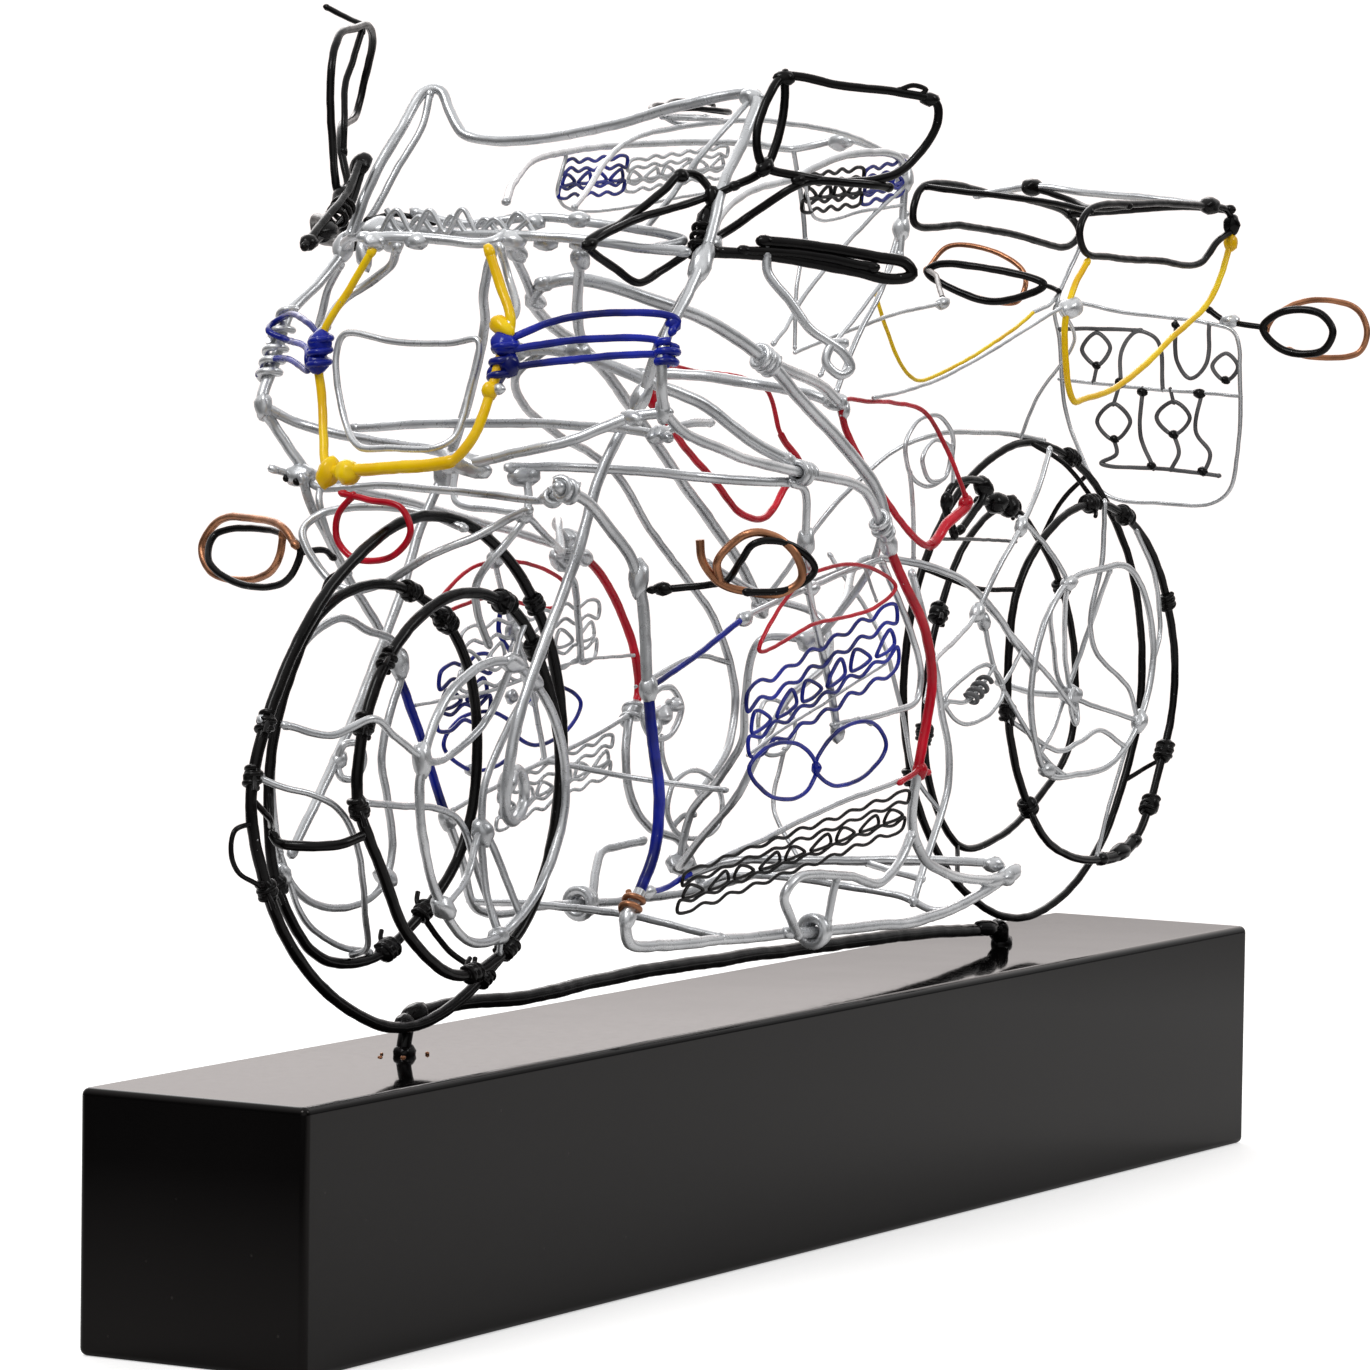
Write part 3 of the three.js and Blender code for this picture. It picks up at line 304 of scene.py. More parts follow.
def ring(radius, *route):
    """A wire closed on itself."""
    return {"radius": radius, "route": painted(route), "looped": True, "ends": 0}


def coil(radius, paint, start, end, turns, reach):
    """Fine wire wound round a straight stretch of another."""
    start, end = Vector(start), Vector(end)
    side = (end - start).orthogonal().normalized()
    other = (end - start).normalized().cross(side)
    count = max(8, round(turns * 10))
    bends = []
    for i in range(count + 1):
        turn = i / count * turns * math.tau
        out = (side * math.cos(turn) + other * math.sin(turn)) * reach
        bends.append(tuple(start.lerp(end, i / count) + out))
    return run(radius, paint, *bends, ends=0)


def solder(radius, at, along=(0, 0, 1), stretch=1.35, paint="silver"):
    """A lump of solder or glue, drawn out along the wire it sits on."""
    return {"lump": radius, "at": at, "along": along, "stretch": stretch, "paint": paint}


def lay_wire(curve, paints, wire):
    """Lays one wire into the curve, a spline for each paint on it, and gives back the lumps at its ends."""
    bends, marks, gauges = [], {}, {0: wire["radius"]}
    for place in wire["route"]:
        if isinstance(place, str):
            marks[max(len(bends) - 1, 0)] = place
        elif isinstance(place, float):
            gauges[max(len(bends) - 1, 0)] = place
        else:
            bends.append(place)
    radius, looped = wire["radius"], wire["looped"]
    path = soft_path(bends, looped, max(FINEST_STEP, radius * STEP_PER_RADIUS))
    starts = sorted(marks)
    for n, start in enumerate(starts):
        stop = starts[n + 1] if n + 1 < len(starts) else len(bends) + 1
        part = [place for place in path if start <= place[0] < stop]
        part += [place for place in path if place[0] >= stop][:1]
        spline = curve.splines.new("POLY")
        spline.points.add(len(part) - 1)
        for dot, (i, point) in zip(spline.points, part):
            gauge = gauges[max(mark for mark in gauges if mark <= i)]
            dot.co = (*(hand(point) * METRE), 1)
            dot.radius = gauge * varied(lambda often: point * often, UNEVEN_GAUGES)
        spline.use_cyclic_u = looped
        spline.use_smooth = True
        spline.material_index = paints.index(marks[start])
    if not wire["ends"]:
        return []
    tips = ((marks[starts[0]], radius, bends[0], bends[1]),
            (marks[starts[-1]], gauges[max(gauges)], bends[-1], bends[-2]))
    return [solder(size * END_SWELL * wire["ends"], tip, Vector(inner) - Vector(tip), END_STRETCH, paint)
            for paint, size, tip, inner in tips]


def add_lump(shape, paints, lump):
    """Adds one uneven lump, finer where it is large."""
    at = Vector(lump["at"])
    detail = 3 if lump["lump"] > LARGE_LUMP else 2
    ball = bmesh.ops.create_icosphere(shape, subdivisions=detail, radius=1.0)
    draw = Matrix.Scale(lump["stretch"], 3, Vector(lump["along"]).normalized())
    for vert in ball["verts"]:
        swell = varied(lambda often: vert.co * often + at, LUMP_SWELLS)
        vert.co = (hand(at) + draw @ vert.co * swell * lump["lump"]) * METRE
    for face in {face for vert in ball["verts"] for face in vert.link_faces}:
        face.smooth = True
        face.material_index = paints.index(lump["paint"])


def made(name, slot, nodes, *parts):
    """Bends the wires, adds their lumps, joins them into one piece and fixes it to the frame."""
    paints = []
    for part in parts:
        for paint in [part["paint"]] if "lump" in part else [p for p in part["route"] if isinstance(p, str)]:
            if paint not in paints:
                paints.append(paint)
    curve = bpy.data.curves.new(name, "CURVE")
    curve.dimensions = "3D"
    curve.bevel_depth = METRE
    curve.bevel_resolution = ROUND_STEPS
    curve.use_fill_caps = True
    for paint in paints:
        curve.materials.append(PAINTS[paint])
    lumps = []
    for part in parts:
        lumps += [part] if "lump" in part else lay_wire(curve, paints, part)
    bent = bpy.data.objects.new(name, curve)
    mesh = bpy.data.meshes.new_from_object(bent)
    bpy.data.objects.remove(bent)
    bpy.data.curves.remove(curve)
    shape = bmesh.new()
    shape.from_mesh(mesh)
    for lump in lumps:
        add_lump(shape, paints, lump)
    bmesh.ops.recalc_face_normals(shape, faces=shape.faces)
    shape.to_mesh(mesh)
    shape.free()
    piece = bpy.data.objects.new(name, mesh)
    bpy.context.collection.objects.link(piece)
    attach(piece, "root")
    if nodes:
        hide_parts(*nodes)


made("base_wire", "black", ["stand_wire"],
     run(STAND_RADIUS, "black", (-120.2, 2.7, 43), (-120.2, 2.7, 52.5), (-117.5, 2.8, 56.5),
         (-107.5, 2.6, 58), (-94.7, 1.6, 58), (-81.8, 0, 57.5), (-43, 0, 58.5), (31, 0, 57.5),
         (75, 0, 56.5), (105, 1.5, 55), (122, 2.7, 53.8), (126.5, 2.7, 53), (128.2, 2.7, 50.5),
         (128.2, 2.7, 43), ends=0),
     solder(2.1, (-116.5, 2.8, 57.4), (1, 0, 0.3), 1.9, "black"),
     solder(1.9, (-122, 1.5, 56.3), (1, 0, 0), 1.3, "black"),
     solder(1.85, (118.5, 1.8, 54.6), (1, 0, -0.1), 3.1, "black"),
     solder(1.8, (125, 2.7, 53.6), (1, 0, 0), 1.8, "black"),
     solder(2.2, (-120.2, 2.7, 50.1), (1, 0, 0), 1.1, "black"),
     solder(2.3, (128.2, 2.7, 50), (1, 0, 0), 1.4, "black"),
     solder(2.3, (126.4, 2.4, 52.6), (0.5, 0, -1), 1.4, "black"),
     solder(0.45, (-124.2, 0.4, 50.1), (1, 0, 0), 1.6, "copper"),
     solder(0.38, (-126.5, 4.2, 50.1), (0, 1, 0), 1.5, "copper"),
     solder(0.42, (-117, -0.6, 50.1), (1, 1, 0), 1.5, "copper"),
     solder(0.3, (-122.6, 6.4, 50.1), (1, 0, 0), 1.5, "copper"),
     solder(0.35, (-115.2, 4.7, 50.1), (1, 0, 0), 1.5, "silver"))


# Tyres
# Each tyre is three hand-bent black rings: one for the tread and one for each wall. Fine black wire is
# knotted round them wherever a cross wire meets them, and the knots are buried in paint.
FRONT_AXLE = (-120.75, 0, 103.3)
REAR_AXLE = (132.5, 0, 109)
REAR_WALLS = (143.5, 0, 109)
KNOT_WIRE = 0.6
KNOT_TURNS = 2.7
KNOT_REACH = 1.5
KNOT_HALF_LENGTH = 1.9
KNOT_PAINT = 1.95
KNOT_TAIL = 0.5


def wheel_ring(axle, offset, turn_degrees, radii):
    """Bends of one ring, whose radius varies round the wheel as it was pulled by hand."""
    turn = math.radians(turn_degrees)
    bends = []
    for i, radius in enumerate(radii):
        angle = i / len(radii) * math.tau
        along = math.cos(angle) * radius
        bends.append((axle[0] + along * math.cos(turn) - offset * math.sin(turn),
                      axle[1] + along * math.sin(turn) + offset * math.cos(turn),
                      axle[2] + math.sin(angle) * radius))
    return bends


def knot(at, bends, size=1.0):
    """A few turns of fine wire drawn tight round a ring at the place nearest to the given one."""
    place = Vector(at)
    path = [point for _, point in soft_path(bends, True, 1.0)]
    near = min(range(len(path)), key=lambda i: (path[i] - place).length)
    along = (path[(near + 1) % len(path)] - path[near - 1]).normalized()
    spot = path[near]
    wrap = along * KNOT_HALF_LENGTH
    out = along.orthogonal().normalized()
    tail = (spot + out * 1.4, spot + along + out * 2.4 * size, spot + along * 2.6 + out * 3.2 * size)
    return [coil(KNOT_WIRE, "black", spot - wrap, spot + wrap, KNOT_TURNS, KNOT_REACH * size),
            solder(KNOT_PAINT * size, spot, along, 1.35, "black"),
            run(KNOT_TAIL, "black", *(tuple(bend) for bend in tail), ends=0)]


front_tread = wheel_ring(FRONT_AXLE, 0, -4,
                         [48, 49.5, 50.5, 50.5, 47.5, 48, 52, 49.5, 47.5, 47.5, 45.5, 47.5])
front_left = wheel_ring(FRONT_AXLE, -9.8, -2.5,
                        [34.5, 34.5, 36.5, 36, 35, 34.5, 34, 30, 32.5, 37, 37, 35.5])
front_right = wheel_ring(FRONT_AXLE, 9.8, -2.5, [34.5, 36.5, 37, 37, 37.5, 35, 35, 37, 38, 35, 32, 33.5])

front_knots = [
    *knot((-171.7, 4, 107), front_tread, 0.9), *knot((-168.7, 4, 117.3), front_tread, 0.9),
    *knot((-166, 2.5, 86), front_tread), *knot((-99, -0.6, 64.4), front_tread, 1.1),
    *knot((-91.4, -2, 69), front_tread), *knot((-84, -1.7, 134), front_tread),
    *knot((-153, -9, 116.5), front_left), *knot((-153.5, -9, 100.6), front_left),
    *knot((-145, -9.4, 127.5), front_left, 0.85), *knot((-106.9, -10.6, 137), front_left, 1.2),
    *knot((-96.3, -10.6, 127.6), front_left, 1.15), *knot((-116.3, -10.4, 66.4), front_left),
    *knot((-104.9, -10.3, 70.7), front_left),
    *knot((-109.8, 9.4, 138.2), front_right), *knot((-97.5, 8.3, 132.4), front_right, 1.2),
    *knot((-115.9, 9.6, 69.7), front_right, 1.15), *knot((-103.2, 8.7, 76.5), front_right),
    *knot((-152, 11.2, 85.3), front_right),
]
made("front_tyre_rings", "black", ["front_tyre"],
     ring(1.15, "black", *front_tread),
     ring(1.12, "black", *front_left),
     ring(1.05, "black", *front_right),
     run(0.95, "black", (-165.9, 3.2, 95.8), (-166.1, 2, 94.5), (-166.5, 0, 94.1), (-164.6, -5, 94),
         (-160.5, -8.5, 94.3), (-155.7, -9.8, 95.4), ends=0.6),
     run(0.62, "black", front_tread[6], (-166, 4, 99), (-158, 9, 97), front_right[6]),
     run(0.62, "black", front_tread[1], (-84, -5, 126), front_left[1]),
     run(0.62, "black", front_tread[4], (-143, 6.5, 142), front_right[4]),
     run(0.62, "black", front_tread[10], (-100, 5, 68), front_right[10]),
     run(0.5, "black", (-172.3, 3.4, 98.5), (-177.2, 4.2, 97.3), (-177.7, 4.6, 93), (-175.8, 4.2, 89.4),
         (-170.5, 3.2, 86.6)),
     *front_knots)

rear_tread = wheel_ring(REAR_AXLE, 0, -3, [52.5, 52, 51.5, 52.5, 52, 52.5, 52.5, 52, 52, 53.5, 53, 52])
rear_left = wheel_ring(REAR_WALLS, -11.2, 0,
                       [41.5, 39.5, 38.5, 39, 40.5, 43, 41.5, 40.5, 40.5, 40.5, 44, 41])
rear_right = wheel_ring(REAR_WALLS, 11.2, 0,
                        [35.5, 33, 33.5, 37.5, 36, 34.5, 37, 41, 42.5, 36.5, 34, 37.5])

rear_knots = [
    *knot((140.6, -11.1, 148), rear_left, 1.1), *knot((156.9, -11.5, 145), rear_left, 1.1),
    *knot((180.2, -11.3, 124.8), rear_left, 0.9), *knot((179.5, -11.1, 90.6), rear_left, 1.1),
    *knot((172.5, -10.5, 78.6), rear_left, 1.1), *knot((113.3, -10.6, 82.9), rear_left, 1.1),
    *knot((104, -11, 104), rear_left), *knot((111, 11, 124.5), rear_right, 1.15),
    *knot((144.4, 11, 146.1), rear_right, 1.2), *knot((106.6, 10.5, 98.6), rear_right),
    *knot((172, 11, 128), rear_right), *knot((150, -1, 158), rear_tread),
    *knot((84.6, 2, 90.4), rear_tread, 0.9),
]
made("rear_tyre_rings", "black", ["rear_tyre"],
     ring(0.88, "black", *rear_tread),
     ring(0.9, "black", *rear_left),
     ring(0.82, "black", *rear_right),
     run(0.55, "black", rear_tread[5], (96, -6, 131), rear_left[5]),
     run(0.55, "black", rear_tread[11], (181, -6, 86), rear_left[11]),
     run(0.55, "black", rear_tread[2], (160, 6, 147), rear_right[2]),
     run(0.55, "black", rear_tread[8], (113, 6, 67), rear_right[8]),
     run(0.55, "black", rear_tread[3], (137, -6, 157), rear_left[3]),
     run(1.4, "black", (149.1, -11.2, 68.2), (155, -11.2, 68.2), (160.6, -11.2, 69), (165.5, -11.2, 70.9)),
     solder(1.9, (158.5, -11.2, 68.9), (1, 0, 0.15), 2.4, "black"),
     *rear_knots)


# Wheel insides
# Silver rims hung inside the tyre rings on bent spokes, soldered where they touch, with cross wires between
# the front rings. Small hooks tie the rims to the walls, and a black wire box sits above the rear one.
def side_on(y, *route):
    """A stretch of wire at one distance from the middle of the machine, given by its places along and up."""
    return [place if isinstance(place, (str, float)) else (place[0], y, place[1]) for place in route]


made("front_left_rim_and_spokes", "silver", ["front_rim_left"],
     ring(0.95, *side_on(-12.5, (-139.5, 105), (-137, 89.5), (-130, 79), (-122.5, 73.5), (-113.5, 72.5),
          (-103.5, 76), (-94.5, 82.5), (-87.5, 93.5), (-87, 103.5), (-91.5, 114.5), (-99.5, 122),
          (-110, 126), (-121, 125), (-133, 118))),
     run(0.75, (-99, -12.5, 122), (-105.5, -9, 109.5), (-110, -8, 100), (-110, -9, 82), (-110, -12, 73)),
     run(0.75, (-107.5, -12.5, 125), (-110.5, -9, 115), (-125.5, -9, 108), (-139, -12.5, 109.5),
         (-147.5, -11.5, 114), (-155, -11.4, 117.5), (-162, -7, 114.5), (-169, -1.5, 116.5)),
     run(0.75, (-130.5, -12.5, 80), (-118.5, -10, 85), (-110, -8, 93), (-102, -12, 76.5)),
     run(0.7, (-153.5, -9.5, 101.5), (-140, -8, 100), (-123.5, -7, 98), (-114.5, -6, 94.5),
         (-108, -6, 84.5), (-104, -8.5, 73)),
     run(0.6, (-100, -11, 133), (-103, -11.5, 129.5), (-106, -12.3, 126)),
     run(0.6, (-109, -12, 73.5), (-108, -11, 69.5), (-106, -10.4, 70.6)),
     solder(2.2, (-110, -8, 93), (0, 0.4, 1), 1.4), solder(2.1, (-130.5, -12.4, 80), (1, 0, -0.6), 1.7),
     solder(1.9, (-139, -12.4, 109), (0, 0, 1), 1.9), solder(2, (-107, -12.4, 125.4), (1, 0, -0.3), 1.8),
     solder(1.9, (-99.3, -12.3, 122), (1, 0, -0.8), 1.7), solder(1.8, (-110, -12, 73.2), (1, 0, 0.2), 1.6))
made("front_cross_wires", "silver", [],
     run(0.65, (-172.5, 3.6, 107.5), (-167, 0.5, 105), (-161, -3, 103), (-156, -5, 100),
         (-151, -5.5, 93.5), (-144, -3, 81), (-132, 4, 71.5), (-128.5, 9.4, 69.6)),
     run(0.65, (-150, 12.2, 91), (-144, 10.8, 78), (-134, 9.5, 72), (-122, 9.8, 69.5)),
     solder(1.6, (-168.3, 3.8, 117.2), (1, 0, 0), 1.4), solder(1.5, (-171.5, 3.4, 107.2), (1, 0, 0), 1.4))
made("front_right_rim", "silver", ["front_rim_right"],
     ring(0.8, *side_on(12.4, (-119, 131), (-129, 134), (-140, 131), (-148, 125), (-152, 114),
          (-152.5, 101), (-149.5, 90), (-144, 83), (-134, 79), (-122, 78.5), (-113, 82), (-110, 88),
          (-112, 98), (-114, 106), (-112, 114), (-107, 124), (-111, 129))),
     solder(1.9, (-107.9, 12.6, 124.3), (0, 0, 1), 1.8), solder(1.9, (-112, 12.4, 83), (1, 0, -0.5), 1.8),
     solder(1.7, (-148.5, 12.4, 86.5), (0.5, 0, -1), 1.6))
made("rear_rim_and_spokes", "silver", ["rear_rim"],
     ring(0.74, *side_on(-14, (115, 90.5), (131, 88.5), (149, 90.5), (161, 98.5), (168, 112), (165, 124),
          (154.5, 133.5), (140, 133.5), (125, 131.5), (113, 122), (108, 106))),
     run(0.58, (116, -14, 125), (124, -11, 118), (139, -7, 106), (161, -14, 98.5)),
     run(0.58, (112, -14, 94), (124, -11, 98), (139, -7, 106), (145, -14, 133)),
     run(0.9, (138, -9, 105.5), (140, 2, 105.5), (143.5, 12, 107)),
     run(0.58, (104.5, -12.5, 146), (117, -12.5, 139.5), (125, -13.5, 131.5), (127.5, -12, 127),
         (132, -10, 115), (137, -9, 106)),
     run(0.58, (89.5, -13, 127), (101.5, -13.5, 119.5), (119, -13.5, 110), (133.5, -12, 102.5)),
     run(0.58, (87, -13, 124.5), (92, -13.3, 113.5), (102, -13.3, 104.5), (117, -13.5, 92.5),
         (124.5, -14, 88.8)),
     run(0.58, (146, -12, 148), (143, -13, 135.5), (140, -12, 122), (142.5, -12, 115.5), (158, -13, 105.5),
         (160.5, -14, 98.5)),
     run(0.45, (156, -13.5, 93), (149, -12.5, 79), (146.5, -11.4, 69.5)),
     run(0.58, (102, -12.5, 102), (124, -13, 94), (133.5, -13, 95.5), (143.5, -13, 97.5),
         (153.5, -14, 93.5)),
     run(0.58, (168, -14, 112), (173.5, -13, 118), (172, -12, 130), (163, -11.5, 141)),
     ring(0.55, (131, -12, 105), (134.5, -11, 107), (139.5, -9, 104.5), (138.5, -10, 100),
          (133, -12, 100)),
     solder(1.6, (87, -13, 124.5), (0.3, 0, -1), 1.4), solder(2.4, (138, -8.5, 105.5), (0.4, 1, 0), 1.3),
     solder(1.8, (161, -14, 98.5), (0.6, 0, 1), 1.7), solder(1.7, (125, -14, 131.2), (1, 0, 0.3), 1.7),
     solder(1.7, (116, -14, 90.5), (1, 0, 0), 1.7))
made("rear_black_box", "black", ["wheel_black_box"],
     run(0.9, "black", (80, -9, 143.5), (78.1, -8, 149.5), (80.3, -8, 153.3), (87.4, -8, 154.8),
         (95.9, -8, 153.4), (94.8, -8, 150.6), (90.1, -8, 147.4), (84, -8.5, 144)),
     run(0.9, "black", (95, -7, 150), (103.4, -7, 149.2), (108.3, -7.5, 148.5), (112, -8, 146.5)),
     run(0.4, "grey", (74.7, -8.5, 142.4), (92, -8, 141.6), (111.1, -8, 140.5)),
     solder(2.2, (95.9, -7.6, 153.2), (1, 0, -0.5), 1.3, "black"),
     solder(2.5, (103.4, -7.2, 149.2), (1, 0, 0), 1.3, "black"),
     solder(2.2, (108.6, -7.6, 148.4), (0.4, 0, 1), 1.2, "black"),
     solder(1.5, (78.6, -8, 150.5), (0, 0, 1), 1.5, "black"))


# Fork
# Two silver wires come down from the dash on either side of the front wheel and end in an eye at its axle.
made("fork_left_wire", "silver", ["fork_left"],
     run(1.12, (-88.5, -43, 201.5), (-89.5, -39, 195.5), (-87.5, -33, 187), (-84.5, -27, 176),
         (-88, -24, 168.5), (-91.5, -22, 161), (-99, -21.5, 145.5), (-109, -21, 130.5), (-116.5, -20, 117),
         (-119, -19, 103.5), (-117, -17.6, 98), (-111.5, -16, 95.5), (-106.3, -15, 98.5),
         (-106.5, -15, 103), (-111, -16, 105.5), (-115.3, -17, 103.5)),
     solder(1.8, (-84.8, -27.4, 176.5), (0.3, -0.4, 1), 2.2),
     solder(1.9, (-115.5, -17.2, 103.5), (1, 0, 1), 1.5))
made("fork_right_wire", "silver", ["fork_right"],
     run(0.98, (-88, 4, 206), (-82.5, 10, 195.5), (-78.5, 12, 190), (-77.5, 14, 183), (-78.5, 18, 168.5),
         (-80, 21, 159), (-86, 22, 149), (-94.5, 21.5, 135.5), (-104.5, 21, 122.5), (-116.5, 20, 108.5),
         (-126.5, 19, 99), (-136.5, 18, 89.5)),
     ring(0.75, (-119, 19.3, 105), (-119.5, 17.5, 109), (-116.5, 16, 109), (-115.5, 15.5, 105.5),
          (-117, 16.5, 102.5), (-119.5, 18, 102.5)),
     solder(1.7, (-118.5, 19.2, 106), (1, 0, 1), 1.4), solder(1.8, (-80, 20.5, 160), (0, 0, 1), 1.8))


# Screen and nose
# One long silver wire runs up the left side, over the top of the screen and down the right side. Thinner
# wires follow it inside, and lumps of solder hold it where the handlebars and mirrors meet it.
made("screen_and_nose_wire", "silver", ["screen_frame"],
     run(1.1, (-104.5, -44, 174.5), (-107.5, -45, 180), (-106.5, -45, 187.5), (-96.5, -44.5, 197.5),
         (-90, -44, 204.5), (-79, -42, 218.5), (-68, -40, 227.5), (-61, -38, 235), (-62, -22, 233),
         (-62, -6, 229), (-61, 8, 226.5), (-60.5, 24, 226), (-60.5, 29, 227.4), (-59.2, 33, 232),
         (-58.2, 35.8, 235.8), (-59.5, 38.4, 235.8), (-66.5, 40, 227.5), (-74.5, 42, 216.5),
         (-80, 44, 204.5), (-88.5, 44.5, 197.5), (-99, 45, 191), (-103.5, 45, 182), (-108.5, 44.5, 173.5),
         (-106.5, 43, 169.5), (-104.5, 37, 160.5)),
     run(0.6, (-61, -38, 235), (-66.5, -36, 230), (-75, -34, 223), (-83, -32, 215), (-89, -30, 209)),
     run(0.75, (-59.5, 37.5, 235), (-62, 37.5, 229), (-68, 39.5, 220), (-74, 41.5, 211), (-80, 44, 204.5)),
     solder(2.2, (-91, -44, 202.8), (0.6, 0, 1), 2.1), solder(2.1, (-80.5, 44, 204.3), (0.5, 0, 1), 1.6),
     solder(1.9, (-61.3, -37.6, 234.6), (0, 1, 0), 1.4),
     solder(1.55, (-104.7, -43.8, 174.8), (0, 0, 1), 1.7),
     solder(1.8, (-108.2, 44.4, 173.2), (0, 0, 1), 1.6),
     coil(0.75, "silver", (-106, 44.8, 178.5), (-102.6, 45, 186), 3.2, 1.9),
     coil(0.7, "silver", (-102.6, 45, 186), (-98.5, 44.8, 192), 1.6, 1.8))
made("nose_rim_wire", "silver", ["nose_rim"],
     run(1.05, (-104.5, -44, 174.5), (-107, -38, 173.5), (-112.5, -28, 169), (-114.5, -16, 166),
         (-114, -8, 164), (-109, 0, 163), (-104.5, 6, 165.5), (-103, 16, 166.5), (-103, 30, 168),
         (-104, 39, 170), (-108, 44, 173)),
     solder(2.4, (-113, -6, 163.5), (0, 1, 0.3), 2.1),
     solder(1.55, (-107.2, -38.5, 173.4), (0.4, 1, 0.2), 2.1), solder(1.7, (-110, -1, 163), (0, 1, 0), 2))
made("nose_cross_wires", "silver", ["nose_cross_bar"],
     run(0.95, (-86, 37, 168.5), (-87.5, 12, 170.5), (-89.5, -12, 171), (-96.5, -34, 170.5),
         (-98, -41, 169.5)),
     run(0.85, (-97, -38, 169.8), (-89, -39, 171.5), (-73, -36, 171.5)),
     solder(1.8, (-97.2, -38.5, 170), (0.6, 0, 0.1), 2))
made("chin_wires", "silver", ["chin_bar"],
     run(0.8, (-108, 42, 161), (-104.5, 38, 159.5), (-105.5, 33, 157.5), (-104, 20, 158.5),
         (-104.5, 6, 158), (-105.5, -6, 157.5), (-106.5, -18, 157), (-112, -24.5, 158.5),
         (-117, -28, 161)),
     run(0.7, (-105.5, 33, 157.5), (-107, 32, 154.5), (-104.5, 31, 147.5), (-99.5, 30, 141)),
     coil(0.6, "silver", (-112, -24.5, 158.4), (-109, -22, 157.6), 2.2, 1.5),
     solder(2.4, (-105, 37.8, 159.8), (0, 1, 0), 1.3), solder(1.4, (-110, -22, 157.8), (0, 1, 0), 1.6),
     solder(0.9, (-107.3, 37, 158.6), (1, 0, 0), 1.2, "black"),
     solder(0.8, (-106.5, 40, 159.2), (1, 0, 0), 1.2, "black"))
made("chin_loop_wire", "silver", ["chin_loop"],
     run(0.82, (-107.5, -16, 155), (-107, -12, 153.5), (-109, -6, 150), (-114, 2, 146), (-116, 12, 140),
         (-120.5, 16, 139), (-120, 22, 141.5), (-119, 28, 149.5), (-116, 26, 153), (-113.5, 14, 155),
         (-111, 4, 153.5), (-110.5, -3, 151.3)))


# Lamp
# A heart-shaped yellow frame hangs in the nose with a fine silver rim inside it and a red oval below. Fat
# drops of paint close its lower corners, and dark blue knots tie the straps to it.
def face_on(x, *route):
    """A stretch of wire at one place along the machine, given by its places across and up."""
    return [place if isinstance(place, (str, float)) else (x, *place) for place in route]


made("lamp_yellow_frame", "yellow", ["lamp_frame"],
     run(0.78, "yellow", (-118, 13.5, 204), (-119, 18, 196.5), (-121, 22, 189), (-121, 23.5, 183), 0.9,
         (-122, 22, 175.5), (-125, 19.5, 168), (-128, 16.5, 162.5), 1.3, (-129.5, 10, 162.5),
         (-130, -1, 163.5), (-130, -9, 164.2), (-129.8, -13, 165.2), 0.98, (-128, -16.5, 170),
         (-124.5, -18, 179), (-122, -18.5, 186), (-121, -19.5, 191), (-119, -16, 198), (-118, -13, 204.5)),
     solder(2.2, (-128.4, 16, 161.8), (0.2, -0.2, 1), 1.5, "yellow"),
     solder(2.5, (-129.5, 10.8, 162), (0, 1, 0), 1.1, "yellow"),
     solder(1.6, (-125, -17.8, 178.4), (0, 0, 1), 1.2, "yellow"),
     solder(1.2, (-124.6, -19.6, 178.6), (0, 1, 0), 1.1),
     solder(1.8, (-121.3, -17.8, 190.3), (0, 1, 0.5), 1.6, "yellow"),
     solder(2.3, (-121.7, 22.8, 186.2), (0, 0, 1), 1.2, "blue"),
     solder(2.2, (-121.7, 23.2, 182.4), (0, 0, 1), 1.1, "blue"),
     coil(0.7, "blue", (-122, 22.8, 181.2), (-121.4, 22.6, 188), 3, 1.9),
     solder(2.4, (-121.8, -18.6, 186.8), (0, 0.7, 0.6), 1.2, "blue"),
     solder(2.1, (-122, -20, 183), (0, 0, 1), 1.2, "blue"),
     solder(1.8, (-122.2, -17.4, 181.2), (0, 0, 1), 1.3, "blue"),
     coil(0.75, "blue", (-122.6, -18.4, 180), (-121.6, -19, 188), 3, 2))
made("lamp_fine_rim", "silver", ["lamp_inner_rim"],
     ring(0.68, (-122, -13, 187.5), (-122, -7, 187), (-122, 4.5, 187), (-122, 17, 188),
          (-122.5, 18.5, 184), (-125, 15, 172.5), (-128, 9.5, 167), (-129, 2, 167), (-129, -8, 167.3),
          (-127, -11.5, 169.5), (-124, -12.5, 178)))
made("number_loop", "red", ["number_oval"],
     run(0.66, "red", *face_on(-131, (11, 158), (4.5, 156.8), (-1.5, 155.8), (-4, 151.5), (-1.5, 147.5),
         (3, 145.5), (9, 146), (12.3, 149.5), (12, 154), (9, 157.5))))
made("lamp_stays", "silver", [],
     run(0.9, (-116, 9, 204.5), (-114, 11.5, 201.5), (-113, 17, 198), (-115.5, 22, 194),
         (-120.5, 22.8, 188.5)),
     run(0.8, (-120.8, -19.2, 191), (-115.5, -17.5, 194), (-112, -13.5, 200), (-113, -12.5, 205)))


